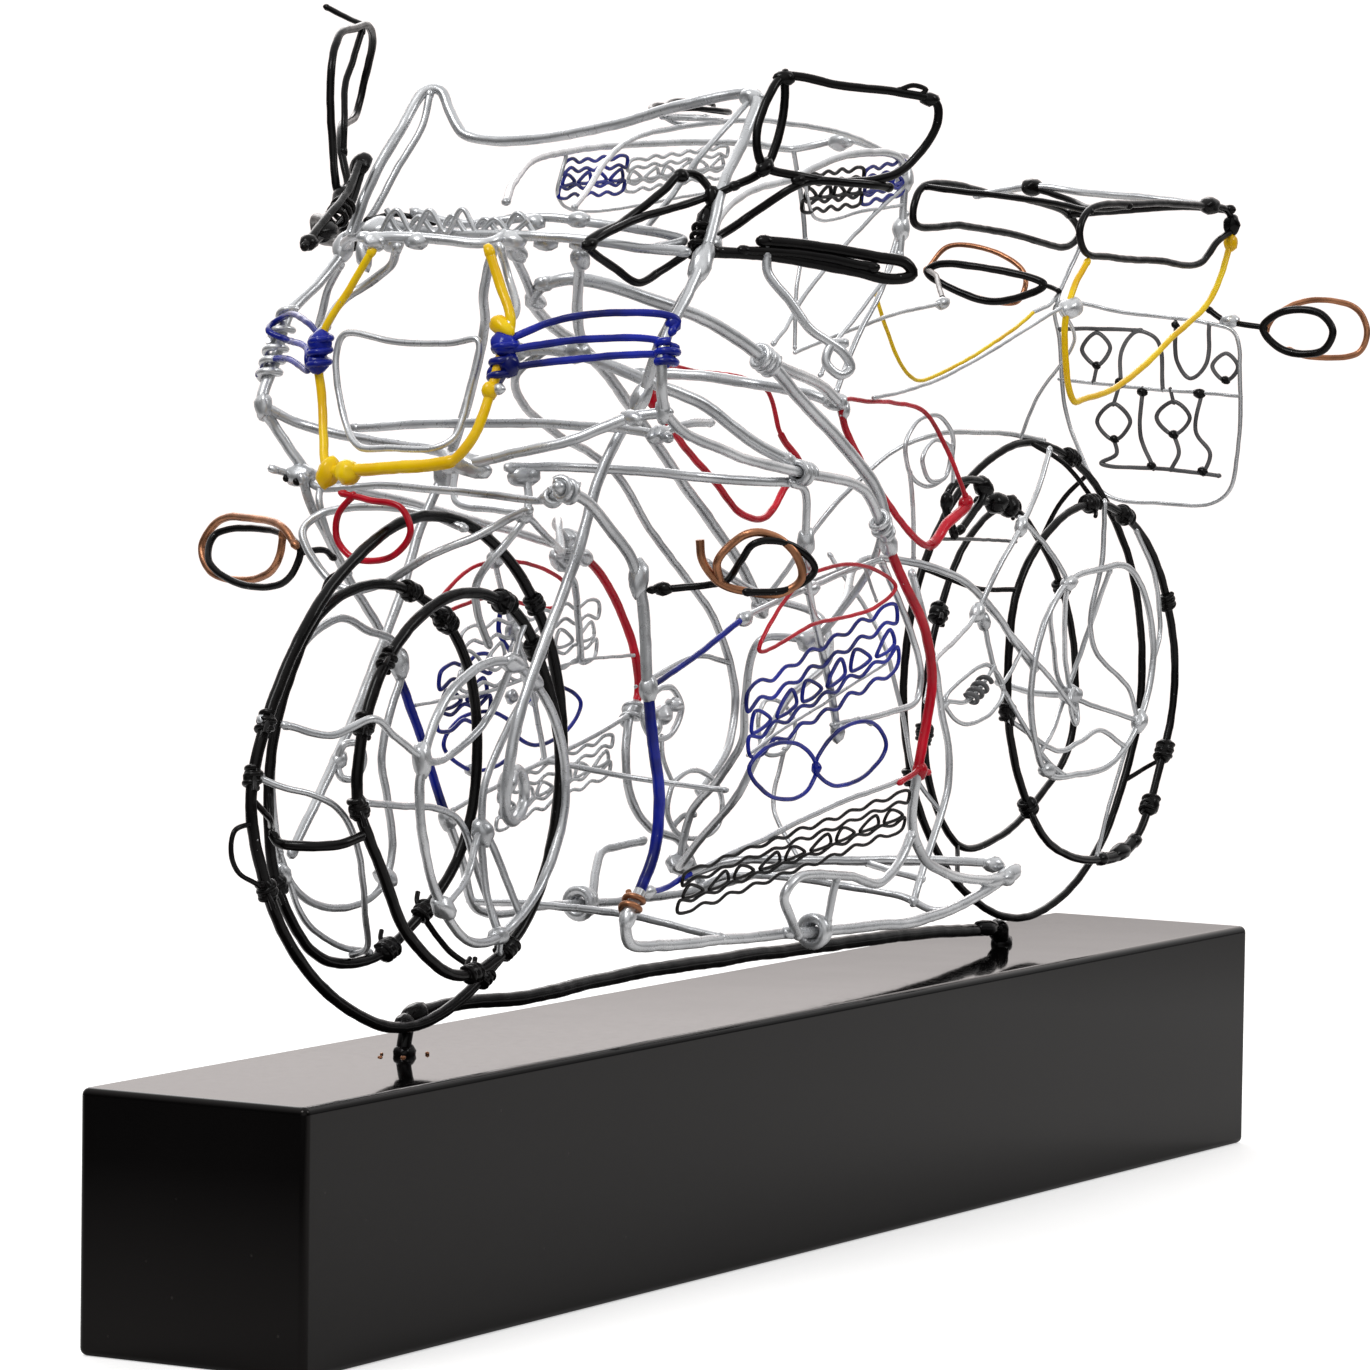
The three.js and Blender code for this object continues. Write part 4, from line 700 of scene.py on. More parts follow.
# Straps
# A blue wire on each side, folded three times between the lamp's knots and the nose upright. Its folds are
# hooked round the upright, which is bound with silver wire on the right.
made("strap_left_wire", "blue", ["strap_left"],
     run(0.74, "blue", (-121.3, -19.8, 188), (-115.7, -27, 191.6), (-110, -37, 193.3),
         (-105.3, -44.8, 193), (-104, -46.4, 191.8), (-105.2, -46, 190)),
     run(0.74, "blue", (-121.6, -20.5, 186), (-113, -33, 188.2), (-107, -43.2, 188.4), (-104.8, -46, 187)),
     run(0.74, "blue", (-122.2, -20.5, 182.6), (-114, -33, 184.6), (-107.4, -43.2, 185.6),
         (-105.2, -46, 184.6)),
     coil(0.8, "blue", (-105.4, -45.2, 187.8), (-106.6, -45.2, 183.6), 2.2, 2.0),
     solder(1.7, (-106.8, -45.4, 185), (0, 0, 1), 1.3, "blue"),
     solder(1.6, (-104, -45.4, 191.4), (0, 0, 1), 1.1, "blue"))
made("strap_right_wire", "blue", ["strap_right"],
     run(0.66, "blue", (-121, 23.5, 188), (-117, 28.5, 190), (-109, 37, 191.5), (-102.5, 43.8, 190.8),
         (-101.8, 46.8, 189.4), (-104.5, 46, 188), (-104.5, 42, 186.5), (-111, 36, 186.3),
         (-119, 27.5, 185), (-122.5, 25, 183), (-121.5, 25.5, 181), (-112, 36, 182.8), (-106, 43.2, 182.6),
         (-103.4, 47, 181.4), (-106.4, 46.6, 179.6)))


# Dash
# Three silver bars joined by a big lump of solder on the right, with two wavy lines of fine wire laid
# along them.
def braid(radius, paint, start, end, tall, count):
    """Two wavy wires laid over each other along a line, uneven in height."""
    start, end = Vector(start), Vector(end)
    wires = []
    for phase in (0, 1):
        bends = []
        for i in range(count + 1):
            high = tall * (0.8 + 0.7 * noise.noise(Vector((i * 1.7, start.z * 0.1, phase * 3.1))))
            lift = high if (i + phase) % 2 else -0.2
            place = start.lerp(end, (i + 0.3 * phase) / (count + 0.3))
            bends.append(tuple(place + Vector((phase * 0.5, 0, lift))))
        wires.append(run(radius, paint, *bends, ends=0))
    return wires


made("dash_wires", "silver", ["dash_bars"],
     run(1.0, (-118, 15, 206.8), (-114, 8, 206.8), (-111, -8, 206), (-106, -9, 207.5)),
     run(1.0, (-100, 22, 209.5), (-102.5, 10, 207.8), (-106, -8, 207.5), (-104.5, -25, 207),
         (-99, -35, 205.5), (-93, -41, 205)),
     run(0.95, (-101.5, 14, 211.5), (-102, 4, 209.5), (-99, -12, 211), (-95.5, -24, 210),
         (-91, -33, 208.5), (-88, -38, 207), (-96, -37, 205.5)),
     run(0.85, (-101, 22, 208), (-98, 30, 206.5), (-88, 39, 205), (-82, 42.5, 204.5)),
     solder(3.2, (-103, 21.5, 207.2), (0.4, 1, -0.2), 1.35),
     solder(2.2, (-106.5, 16, 205.6), (1, 0.6, 0), 1.4),
     solder(1.6, (-103.5, 24.5, 202.8), (0, 0.3, 1), 2.2),
     solder(1.9, (-116.8, 13.2, 206), (1, -0.4, 0), 1.4), solder(1.7, (-113.8, 6, 205.9), (0, 1, 0), 1.5),
     solder(2, (-105.8, -10.5, 206.4), (0.2, 1, 0), 1.9),
     solder(1.7, (-103.8, -17, 206.2), (0, 1, 0), 1.6), solder(1.5, (-101.5, -23, 206), (0, 1, 0), 1.5),
     solder(1.6, (-100, -12, 210), (0, 1, 0), 1.5), solder(1.7, (-97, -20, 210.6), (0, 1, 0), 1.5),
     *braid(0.55, "silver", (-106.5, 19, 207.6), (-104.5, -14.5, 208.2), 3.9, 9),
     run(0.55, "black", (-101.5, 25, 209.8), (-100, 21, 211), (-101.5, 16, 210.8), (-99, 12, 209.6)))


# Handlebar ends
# A thick black wire folded into each grip, and below it a thin silver lever bent back into a small loop.
made("grip_left_wire", "black", ["grip_left"],
     run(1.15, "black", (-87.1, -44, 205), (-77.9, -52.6, 204), (-66.9, -63.1, 201.6), (-60.3, -69.4, 200),
         (-57.9, -71.8, 201), (-58.8, -70.9, 203), (-64, -65.8, 204.4), (-71.4, -58.9, 205.8),
         (-79.4, -51.2, 206.9)),
     run(0.9, "black", (-83, -48.6, 205.2), (-74, -57.2, 204.4), (-64.5, -66.6, 202.2)))
made("grip_right_wire", "black", ["grip_right"],
     run(1.15, "black", (-76, 45, 204.6), (-69, 50, 204.6), (-59.5, 60, 205.1), (-50.5, 69, 205.5),
         (-47.5, 72, 206.8), (-49.5, 71, 209.2), (-58, 62, 208.5), (-66, 54.5, 208.15), (-71, 50, 208.1)),
     run(0.95, "black", (-72, 48, 207), (-64, 55, 206.6), (-56, 63, 206.8)))
made("lever_left_wire", "silver", ["lever_left"],
     run(0.93, (-79.6, -51.6, 204.6), (-79.8, -52, 201), (-77.5, -56, 195.5), (-75, -59, 190.5),
         (-70, -63.5, 186), (-68.5, -64.5, 183), (-71, -63.5, 181.5), (-73, -61.5, 184),
         (-71.5, -62, 187.5), (-68, -62.5, 187.8)))
made("lever_right_wire", "silver", ["lever_right"],
     run(0.8, (-69.5, 52, 200.5), (-67.5, 56, 195.5), (-65, 59, 190.5), (-60, 63.5, 186),
         (-58.5, 64.5, 183), (-61, 63.5, 181.5), (-63, 61.5, 184), (-61.5, 62, 187.5), (-58, 62.5, 187.8)))


# Mirrors
# A rounded black frame on each side, swept back from a leaf-shaped bracket that is bound to the nose wire.
made("mirror_left_frame", "black", ["mirror_left"],
     ring(0.88, "black", (-70.5, -50, 238.5), (-63, -58, 237), (-53.5, -66, 236), (-47.5, -71, 234),
          (-47, -70.5, 229), (-51, -65, 220.5), (-60, -59, 218.5), (-71, -54, 219.5), (-76.5, -49, 221.5),
          (-78.5, -48.5, 227), (-74.5, -49, 235)),
     run(0.85, "black", (-70.5, -50, 238.5), (-70, -49.5, 232), (-72, -49, 225.5), (-75, -48, 220.5),
         (-80.5, -45, 217.5)),
     run(0.85, "black", (-87.5, -40, 204.5), (-76.5, -44, 210.5), (-73, -53, 217), (-69, -55, 218.5),
         (-57.5, -62, 218), (-52, -63, 217.5)),
     solder(1.5, (-70.6, -50, 238.2), (1, -1, 0), 1.6, "black"),
     solder(1.4, (-48.5, -70, 234.8), (1, -1, 0), 1.5, "black"),
     solder(1.7, (-76.3, -49.1, 221.2), (1, 0, 0.6), 1.6, "black"),
     solder(1.4, (-71, -53.8, 218.6), (1, 0, 0), 1.6, "black"),
     run(0.5, "black", (-53.5, -66, 236.5), (-51.5, -68, 237.4), (-49.5, -69.8, 236.6),
         (-50.5, -68.8, 235.6)))
made("mirror_bracket_left_leaf", "black", ["mirror_bracket_left"],
     run(0.8, "black", (-80.5, -45, 217.5), (-82.5, -41, 215.5), (-101, -36, 211), (-115.5, -33, 206)),
     ring(0.82, "black", (-115.5, -33, 206), (-103, -34, 210.5), (-93.5, -37, 216.5), (-89.5, -38, 219.5),
          (-83.5, -39, 219), (-82.5, -41, 215.5), (-83.5, -41, 212), (-87, -40, 206), (-95, -37, 201),
          (-101.5, -36, 199), (-106.5, -34, 201.5)),
     solder(1.7, (-84.6, -40.8, 210.4), (0.3, 0, 1), 1.9, "black"),
     solder(1.5, (-82.6, -41.2, 215.2), (0, 0, 1), 1.6, "black"),
     solder(1.4, (-114.6, -33.2, 206), (1, 0, 0.3), 1.6, "black"),
     solder(1.4, (-89, -38, 219.3), (1, 0, 0), 1.5, "black"),
     coil(0.5, "black", (-88.6, -41.5, 205.5), (-85.8, -41, 210.5), 3, 1.5))
made("mirror_right_frame", "black", ["mirror_right"],
     ring(0.82, "black", (-81.5, 45, 215.5), (-80.5, 47, 225.5), (-80, 48, 234), (-78, 49, 241.5),
          (-72, 51, 246.5), (-62, 54, 248), (-50.5, 58, 248.5), (-43, 62, 245.5), (-39.5, 66, 238),
          (-42, 66, 231.5), (-51.5, 62, 229.3), (-65, 55, 228), (-71, 51, 223.5), (-75.5, 46.5, 216)),
     run(0.7, "black", (-56, 56, 247.5), (-61, 55, 241.5), (-65.5, 54, 236.5), (-70, 51, 229),
         (-71.5, 50, 223)),
     run(0.6, "black", (-46, 71, 252.5), (-47, 66, 250.5), (-49.5, 59, 248.5)),
     run(0.8, "black", (-76, 42.5, 220.5), (-84.5, 40, 212.5), (-91.5, 38, 208.8), (-104, 35, 206),
         (-111.5, 33, 204.5), (-103, 35, 208.8), (-89.5, 38, 214.5), (-78, 42, 221.5)),
     run(0.7, "black", (-85, 40, 213), (-82.5, 43, 214), (-79.5, 46, 215.2)),
     solder(2.2, (-82, 43.4, 214.2), (1, 0.4, 0.5), 1.6, "black"),
     solder(2.1, (-100, 36, 207.4), (1, 0, 0.2), 1.8, "black"),
     solder(1.7, (-109, 33.6, 205.4), (1, 0, 0.2), 1.5, "black"),
     solder(2, (-77.5, 42.2, 220.6), (1, 0, 1), 1.5, "black"),
     coil(0.55, "black", (-94, 37.5, 209.5), (-88, 38.8, 213), 3, 2))


# Head and frame spars
# The heaviest silver wires: two spars run back from the head, one over each side, and a lower pair joins
# the fairings. They are bound with twists of fine wire where they cross.
made("head_spars", "silver", ["frame_head_spar"],
     run(1.35, (-79.5, -2, 198), (-78, -8, 199), (-65.5, -20, 194.5), (-52.5, -25, 190), (-37, -28, 183),
         (-24.5, -29, 175), (-7, -31, 163.5), (0.5, -33, 156), (3.5, -33.5, 149.5)),
     run(1.2, (-79.5, -2, 198), (-77.5, 2, 195), (-67.5, 5, 190.5), (-49, 8, 185), (-37.5, 10, 180.5),
         (-11.5, 16, 169.5), (12.5, 20, 156), (28.5, 22, 147), (45.5, 24, 137), (57, 25, 126.5)),
     run(0.9, (-91, -2, 204), (-83.5, 0, 199), (-77.5, 2, 195)),
     run(1.15, (-37, -28, 183), (-17.5, -25, 179.5), (-1.5, -22, 176.5), (5.5, -21, 173.5),
         (6.5, -14, 175), (10.5, 0, 176.5), (6, 12, 178), (2, 24, 178.5)),
     coil(0.7, "silver", (-39.5, -27.6, 184.2), (-34.5, -28.3, 181.6), 3.2, 2.1),
     solder(2.2, (-37, -28, 183), (1, 0, -0.5), 1.5), solder(1.9, (-89.8, -2, 204), (1, 0, -0.5), 1.6),
     solder(1.8, (-75.5, 2.6, 194.3), (1, 0, -0.3), 1.7), solder(1.9, (5.5, -20.5, 173.8), (0, 1, 0), 1.5))
made("lower_spars", "silver", ["frame_lower_spar"],
     run(1.25, (-82.5, 4, 184.5), (-80.5, -4, 185), (-77, -11, 183.5), (-73, -20, 180), (-63, -28, 175),
         (-53.5, -34, 167.5), (-43, -37.3, 163)),
     run(1.05, (-98, -21, 203.5), (-90, -16, 198), (-83.5, -12, 191), (-77.5, -10, 184.5)),
     run(0.88, (-80, -3, 185), (-79, 4, 180.5), (-63.5, 12, 173.5), (-39.5, 18, 166.5), (-21, 22, 162.5),
         (-13.5, 20, 158), (3.5, 22, 146), (24, 24, 134), (36.5, 25, 125.5), (43.5, 25, 115.5),
         (46, 25, 107), (41.5, 24, 98.5), (26, 22, 90)),
     solder(2.3, (-79, -9, 184.6), (0.5, 1, 0), 1.6),
     solder(1.9, (-97, -20.4, 203), (0.7, 0.3, -0.6), 1.6), solder(2, (-82, 3, 184.4), (0.3, 1, 0), 1.4),
     solder(1.8, (-44, -37, 163.3), (1, 0, -0.4), 1.5))
made("middle_bars", "silver", ["frame_mid_bar"],
     run(1.0, (-94, -4, 162.5), (-86, -10, 162.5), (-75, -17, 162), (-62.5, -28, 160.5),
         (-49.5, -34, 159.5), (-41, -37.3, 159)),
     run(0.8, (-90.5, -5.5, 161.5), (-97, -9, 153.5), (-103, -2, 141), (-99.5, 0, 134), (-94, 1, 128)),
     run(0.72, (-80, 17.5, 163), (-87, 13, 155), (-92, 0, 154), (-97, -9, 153.5), (-86.5, -8, 148.5),
         (-61.5, 4, 144.5)),
     solder(2.2, (-91.5, -5.4, 160.8), (0.6, -0.5, 0), 1.6),
     solder(1.7, (-97, -8.6, 153.4), (1, 0, 0), 1.5))
made("inner_far_stay", "silver", [],
     run(0.75, (-61, 4.2, 144.6), (-50, 12, 150), (-41, 18, 148.5), (-29.5, 22, 144.5), (-24.5, 26, 140),
         (-16.5, 28, 135), (-10, 31, 128), (-6, 32.5, 119.2)),
     solder(2.4, (-28.5, 22, 144.6), (1, 0, -0.5), 1.4),
     solder(2.2, (-25.7, 26, 140.6), (1, 0, -0.8), 1.3),
     coil(0.6, "silver", (-31, 21.2, 145.4), (-26, 24.5, 141.8), 2.6, 1.9))


# Tank
# Three long hoops run from the dash over the tank to its rear rim, with a filler cap's coils on top. Fine
# wires bent into wavy bands and wedges are tied along its sides as a border.
UPPER_BAND = 0.72
BAND_HEIGHT = 0.25
BAND_WAVE = 0.05
BAND_WAVER = 0.03
WEDGE_SIDES = (0.12, 0.88)
WEDGE_HEIGHTS = (0.36, 0.38, 0.62)
WEDGE_LEAN = 0.3


def strokes(radius, paint, start, end, up, teeth):
    """A border of fine wire: a wavy band above and below, and small slanted wedges between them."""
    start, end, up = Vector(start), Vector(end), Vector(up)

    def outline(places):
        return ring(radius, paint, *(tuple(start.lerp(end, along) + up * high) for along, high in places))

    rings = []
    for low, drift in ((0.0, 0.0), (UPPER_BAND, 0.5)):
        edge = []
        for i in range(2 * teeth + 1):
            wave = BAND_WAVE * math.cos((i / 2 + drift) * math.tau)
            wave += BAND_WAVER * noise.noise(Vector((i * 0.9, start.z, drift)))
            edge.append((i / (2 * teeth), low + wave))
        rings.append(outline(edge + [(along, high + BAND_HEIGHT) for along, high in reversed(edge)]))
    for i in range(teeth):
        left, right = ((i + side) / teeth for side in WEDGE_SIDES)
        lean = (right - left) * WEDGE_LEAN * (1 if i % 2 else -1)
        rings.append(outline(zip((left, right, (left + right) / 2 + lean), WEDGE_HEIGHTS)))
    return rings


made("tank_wires", "silver", ["tank_frame"],
     run(0.8, (-99, -5, 214), (-82.5, 4, 217), (-59, 14, 221.5), (-34, 21, 224), (-5.5, 25, 225.5),
         (26.5, 27, 226.5), (50.5, 26, 226.5), (66, 24, 225.5), (70.5, 14, 227.5), (67, 2, 225),
         (52.5, -12, 224), (30.5, -22.5, 220), (28.5, -23, 212), (27.5, -23, 203.5)),
     run(0.6, (-93.5, -17, 213), (-76, -10, 217), (-61.5, -5, 222), (-46.5, -2, 226.5), (-20, 0, 229.5),
         (4.5, 0, 231), (30, 0, 230), (49.5, 0, 228), (67, 2, 225)),
     run(0.85, (-84, -42, 206), (-74.5, -38, 211), (-55.5, -33, 216), (-32, -30, 219), (-10, -27, 223),
         (10.5, -25, 224.5), (25, -24, 223.5), (30.5, -22.5, 219)),
     run(0.55, (66, 24, 225.5), (69, 23.5, 214), (70, 23, 206)),
     run(0.55, (-35, -28.5, 186.5), (-27, -27, 190), (-20, -26, 194.5), (-2, -25, 204.5), (17, -24, 213.5),
         (29.5, -23, 218)),
     run(0.5, (28.5, -23, 209), (25, -22, 200.5), (14.5, -22, 193.5), (1, -22, 184.5), (-3.5, -22, 179.5)),
     run(0.38, (-34, 21, 223), (-35.5, 22, 216), (-30, 23, 212.5), (10, 25, 214), (42, 26.5, 219),
         (46, 26.4, 226)),
     run(0.38, (-22, -27.5, 219.5), (-14, -25.5, 211.5), (10, -24.5, 212.8), (28.6, -23, 214)),
     *strokes(0.4, "blue", (-35, 22, 214.5), (-6, 24, 216), (2, 0, 7.5), 4),
     *strokes(0.4, "silver", (-5, 24.2, 216), (40, 26.4, 219.5), (2, 0, 6.5), 6),
     *strokes(0.4, "black", (-20, -26, 212.4), (7, -24.6, 214), (1.5, 0, 7.5), 4),
     *strokes(0.42, "blue", (7.5, -24.6, 214), (28, -23.2, 216.5), (1.5, 0, 7), 3),
     solder(2, (30, -22.6, 219.4), (0.3, 0, 1), 1.6), solder(1.9, (66.6, 13, 227), (0, 1, 0), 1.5),
     solder(1.9, (-83.5, -41.8, 206), (1, 0, 0.5), 1.5))
made("filler_cap_coils", "black", [],
     ring(0.5, "black", (-28, 4, 232.5), (-20, 8, 233.6), (-9, 7.5, 233.2), (-5, 1, 232.4),
          (-12, -4, 232.6), (-24, -2.5, 232.8)),
     run(0.45, "black", (-30, 1, 233), (-18, 4.5, 234.6), (-6, 3, 234), (-1, 6, 233)),
     ring(0.5, (-26, 3, 231), (-17, 6, 231.4), (-8, 4, 231.2), (-11, -2, 230.8), (-22, -2, 230.8)),
     run(0.5, (-26, 3, 231.2), (-24, 1.5, 230), (-20, 0.4, 229.6)),
     run(0.5, (-8, 3.5, 231.4), (-7, 1.6, 230.8), (-5, 0.3, 230.3)))
made("tank_stays", "silver", [],
     run(0.6, (30.5, -22.6, 212), (28.5, -21.5, 206.5), (24.5, -20.6, 196.5), (14.5, -20.4, 187),
         (6.5, -20.4, 176)),
     run(0.45, (70, 23, 206), (66, 22.6, 196), (63, 21.2, 183)),
     solder(1.8, (28.5, -22.6, 209), (0.2, 0, 1), 1.6))


# Side panels
# A red loop hangs below the tank on each side. Its lower edge is drawn thick with paint.
made("side_panel_left_loop", "red", ["side_panel_left"],
     ring(0.5, "red", (6.2, -22, 173.6), (18, -21.6, 173.6), (30.2, -21, 173.1), (43.4, -21, 170.6),
          (55.2, -21, 161.4), (62, -21, 153), 0.66, (63.3, -21, 151.2), 1.15, (54.5, -21, 147),
          (46.3, -21, 142.6), 0.75, (29, -21, 151.4), (15.8, -21.4, 160.6), (6.7, -22, 169.6)),
     solder(1.6, (62.6, -21, 151.2), (1, 0, 1), 1.2, "red"),
     solder(1.4, (6.8, -22, 172), (0.2, 0, 1), 1.5))
made("side_panel_right_loop", "red", ["side_panel_right"],
     ring(0.42, "red", *side_on(21, (6, 179), (22, 178.5), (39, 177), 0.52, (51, 173.5), (57, 164.5), 0.78,
          (65, 157.5), (59, 153), (51, 147), (40.5, 148), (26.5, 156.5), (14, 164), (3, 172.5))),
     solder(1.7, (3.4, 21, 173), (0, 0, 1), 1.5, "red"))


# Tail
# Black hoops make the seat, with a silver wire across them, yellow wires edge the tail below, and thin
# silver rails carry it all from the frame.
made("seat_hoops", "black", ["seat_frame"],
     ring(0.85, "black", *side_on(22, (117, 210), (118, 215), (123, 218), (158.5, 216), (180.5, 214),
          (193.5, 211.5), (198.5, 207.5), (193, 204.5), (178.5, 205.5), (163.5, 207.5), (139, 209))),
     ring(0.8, "black", *side_on(-22, (115.5, 213), (140.5, 214.5), (171, 214.5), (185.5, 213),
          (188, 209.5), (180.5, 206.5), (171.5, 201.5), (151, 202), (126.5, 203), (114, 204.5),
          (111.5, 208.5))),
     run(0.85, (148, 22, 216), (148.5, 8, 218), (151, -2, 217), (161, -12, 216), (176, -22, 214.5)),
     run(0.75, "black", (148.5, 8, 217.5), (147, -2, 215), (141.5, -10, 213.5), (135, -22, 214)),
     run(1.0, "black", (186, -22, 213.5), (190, -8, 214), (191, 8, 213), (193, 21.5, 211.8)),
     run(0.7, "black", (116, -22, 213), (120, -8, 215), (121, 8, 216.5), (122, 21.5, 217.6)),
     solder(2, (176, -22, 214.5), (1, 0, 0), 2, "black"),
     solder(1.9, (187.5, -22, 210), (0, 0, 1), 1.4, "black"),
     solder(2, (148.3, 9, 217.8), (1, 0, 0), 2, "black"))
made("seat_rail_left_wire", "silver", ["seat_rail_left"],
     run(0.45, (18, -22.5, 174.5), (32.5, -22, 175.5), (54.5, -21, 178.5), (75, -22, 184.5),
         (103, -22, 192)))
made("seat_rail_right_wire", "silver", ["seat_rail_right"],
     run(0.5, (63, 21, 182), (87, 21, 186.5), (109.5, 21, 190), (132.5, 22, 192)),
     solder(1.5, (131.6, 22, 191.9), (1, 0, 0.2), 1.5))
made("tail_edge_left_wire", "yellow", ["tail_edge_left"],
     run(0.72, "yellow", *side_on(-22, (115.5, 202), (109.5, 197), (105.5, 190), (106, 180.5),
         (107.3, 175), (110, 171.6), (114, 171.8), (132.5, 175), (162, 186.5), (176, 192.5), (183, 199.5),
         (187.5, 206.5))),
     solder(1.7, (187.2, -22, 206), (0, 0, 1), 1.3, "yellow"))
made("tail_edge_right_wire", "yellow", ["tail_edge_right"],
     run(0.45, "yellow", *side_on(22, (100.5, 194), (106, 186), (113, 178), (120, 175), (130, 176),
         (150, 181), (167, 186), (176, 189.5))))
made("tail_stays", "silver", [],
     run(0.6, (57, 25, 128), (66, 12, 150), (82, 8, 160), (96, 4, 164), (122, 2, 163.6),
         (137.5, -0.5, 162)),
     run(0.42, (103, -22, 192), (112, -21, 185), (120, -8, 172), (124, -2, 163)),
     run(0.5, (176, 22, 189.5), (183, 22, 191), (188, 22, 193.5)),
     run(0.6, (110.5, -16, 160.9), (103.7, -17, 152.4), (94, -18, 144.8), (82.2, -18, 134.9),
         (76.1, -17, 126.9), (60.6, -20, 122), (40, -26, 118.3), (29.2, -30, 111.6)),
     solder(1.5, (94, -18, 144.8), (0.5, 0, 1), 1.7), solder(1.7, (76.1, -17, 126.9), (0.6, 0, 1), 1.5),
     solder(2.4, (108, -21.8, 192), (1, 0, 0.2), 1.5))


# Number plate
# A silver wire frame behind the tail, with two rows of curly wire strokes in it that spell nothing.
made("plate_wires", "silver", ["plate_frame"],
     ring(0.5, *face_on(186, (21.5, 191), (20.5, 183), (18.5, 167), (15, 158), (10, 149.5), (5, 147),
          (-6, 146.5), (-19, 147), (-23.8, 150.5), (-25.5, 161.5), (-25.5, 175), (-24, 185.5),
          (-16.5, 188), (2.5, 189.5))),
     run(0.55, (198.5, 22, 204), (192.5, 22, 198), (188, 22, 193.5), (186, 21.5, 190)),
     run(0.45, (186, 20, 174), (186, -2, 172.4), (186, -25.5, 171.5)),
     run(0.5, "grey", (186, 20.4, 185.4), (186, 14.3, 185.7), (186, -0.1, 185.7)),
     ring(0.5, "grey", (186, 14.6, 181), (186, 11, 184.8), (186, 7.4, 181.4), (186, 10.6, 177.4)),
     run(0.45, "grey", (186, 10.6, 177.4), (186, 11.4, 173.6)),
     run(0.5, "grey", *face_on(186, (4.6, 173), (4.4, 181), (0.6, 185.4), (-4.6, 183.4), (-6, 172.6))),
     run(0.5, "grey", *face_on(186, (-9, 187.6), (-9.5, 179), (-13, 175), (-17, 178.4), (-17.5, 187.4))),
     ring(0.5, "grey", (186, -18.6, 178), (186, -22, 181), (186, -25, 178), (186, -22, 174.8)),
     ring(0.5, "grey", (186, 10.4, 164.6), (186, 6.2, 168.8), (186, 2, 164.8), (186, 6, 160.6)),
     run(0.5, "grey", *face_on(186, (6, 160.6), (5.4, 157.4), (9.3, 155.1), (-6, 154.2), (-20.6, 153.3))),
     run(0.5, "grey", (186, -1, 172.2), (186, -0.6, 162), (186, -4, 154.4)),
     ring(0.5, "grey", (186, -4.6, 166), (186, -8.8, 169.6), (186, -13, 166), (186, -9, 162)),
     run(0.5, "grey", (186, -9, 162), (186, -10.4, 158), (186, -8.6, 154.2)),
     run(0.5, "grey", (186, -16, 171.8), (186, -14.6, 163), (186, -18.4, 158), (186, -16.8, 153.6)),
     run(0.45, "grey", (186, 6.2, 168.8), (186, 5, 172.8)),
     run(0.45, "grey", (186, -8.8, 169.6), (186, -8, 172.2)),
     *(solder(size, (186, y, z), (0, 1, 0.4), 1.25, "black")
       for size, y, z in ((1.1, -1, 171.6), (1.0, 6, 160.8), (1.1, -9, 162), (1.25, -15.4, 171.6),
                          (1.1, -16.6, 154), (1.2, 4.6, 173.6), (0.9, 10.8, 177.4), (1.0, -22, 175),
                          (0.9, -9, 187.2), (1.0, -3.6, 154.8))))


# Indicators
# Each is a black arm and rim with a rim of bare copper wire beside it, tied together at one end.
made("indicator_front_left_rims", "black", ["indicator_front_left"],
     run(0.72, "black", (-89, -33, 139.5), (-87.5, -37, 140), (-86, -44, 141), (-88.5, -49.5, 142.5),
         (-91.5, -54, 146.5), (-92.3, -57, 149.6), (-89, -60.5, 150), (-84.5, -64, 147.6),
         (-82.5, -65, 144.5), (-86, -61.5, 140.8), (-90.5, -55, 140.3)),
     run(0.82, "copper", (-94.5, -46.5, 150), (-94, -47, 146), (-92, -49.5, 142), (-88.6, -54, 140.2),
         (-86.6, -60, 140), (-85, -63.6, 143), (-86.4, -63, 147.5), (-89, -59.6, 151), (-91.6, -56, 151.6),
         (-92.6, -52.6, 149.6), (-93.8, -50, 146), (-91.8, -49.6, 142.2), ends=0),
     solder(1.4, (-88.6, -35, 139.8), (0, 1, 0), 1.6, "black"))
made("indicator_front_right_rims", "black", ["indicator_front_right"],
     run(0.65, "black", (-105, 30, 144), (-108, 30, 145.5), (-114, 31, 145.5)),
     ring(0.72, "black", (-115, 31, 145.5), (-113, 36, 139.5), (-110.5, 48, 138.5), (-108, 57, 142.5),
          (-103.5, 58.5, 147.5), (-106, 44, 149)),
     run(0.78, "copper", (-116.2, 31.5, 147), (-114.2, 35.5, 150), (-108, 46, 151.2), (-102, 59, 150),
         (-101.5, 63, 145), (-103.8, 59.5, 140.2), (-105.4, 51.5, 138.8), (-109, 42, 141),
         (-111.6, 38, 144.5), (-112, 37, 148.5)))
made("indicator_rear_left_rims", "black", ["indicator_rear_left"],
     run(0.7, "black", (187, -17, 190.8), (187, -21, 188.5), (188, -30, 187)),
     ring(0.9, "black", (188, -30, 187), (188.5, -35, 190.8), (190, -43, 190.5), (190, -46.5, 186.5),
          (190, -44, 182.2), (188.5, -35, 182)),
     run(0.7, "copper", (188.8, -30.5, 186.5), (190, -31.8, 189.5), (195, -38, 193.3), (202, -46.5, 191.5),
         (203, -49, 186.5), (202, -47.5, 181.5), (194.5, -38.5, 180.5), (191.5, -35, 182)),
     solder(1.6, (187.2, -22, 188.3), (0, 1, 0), 1.6))
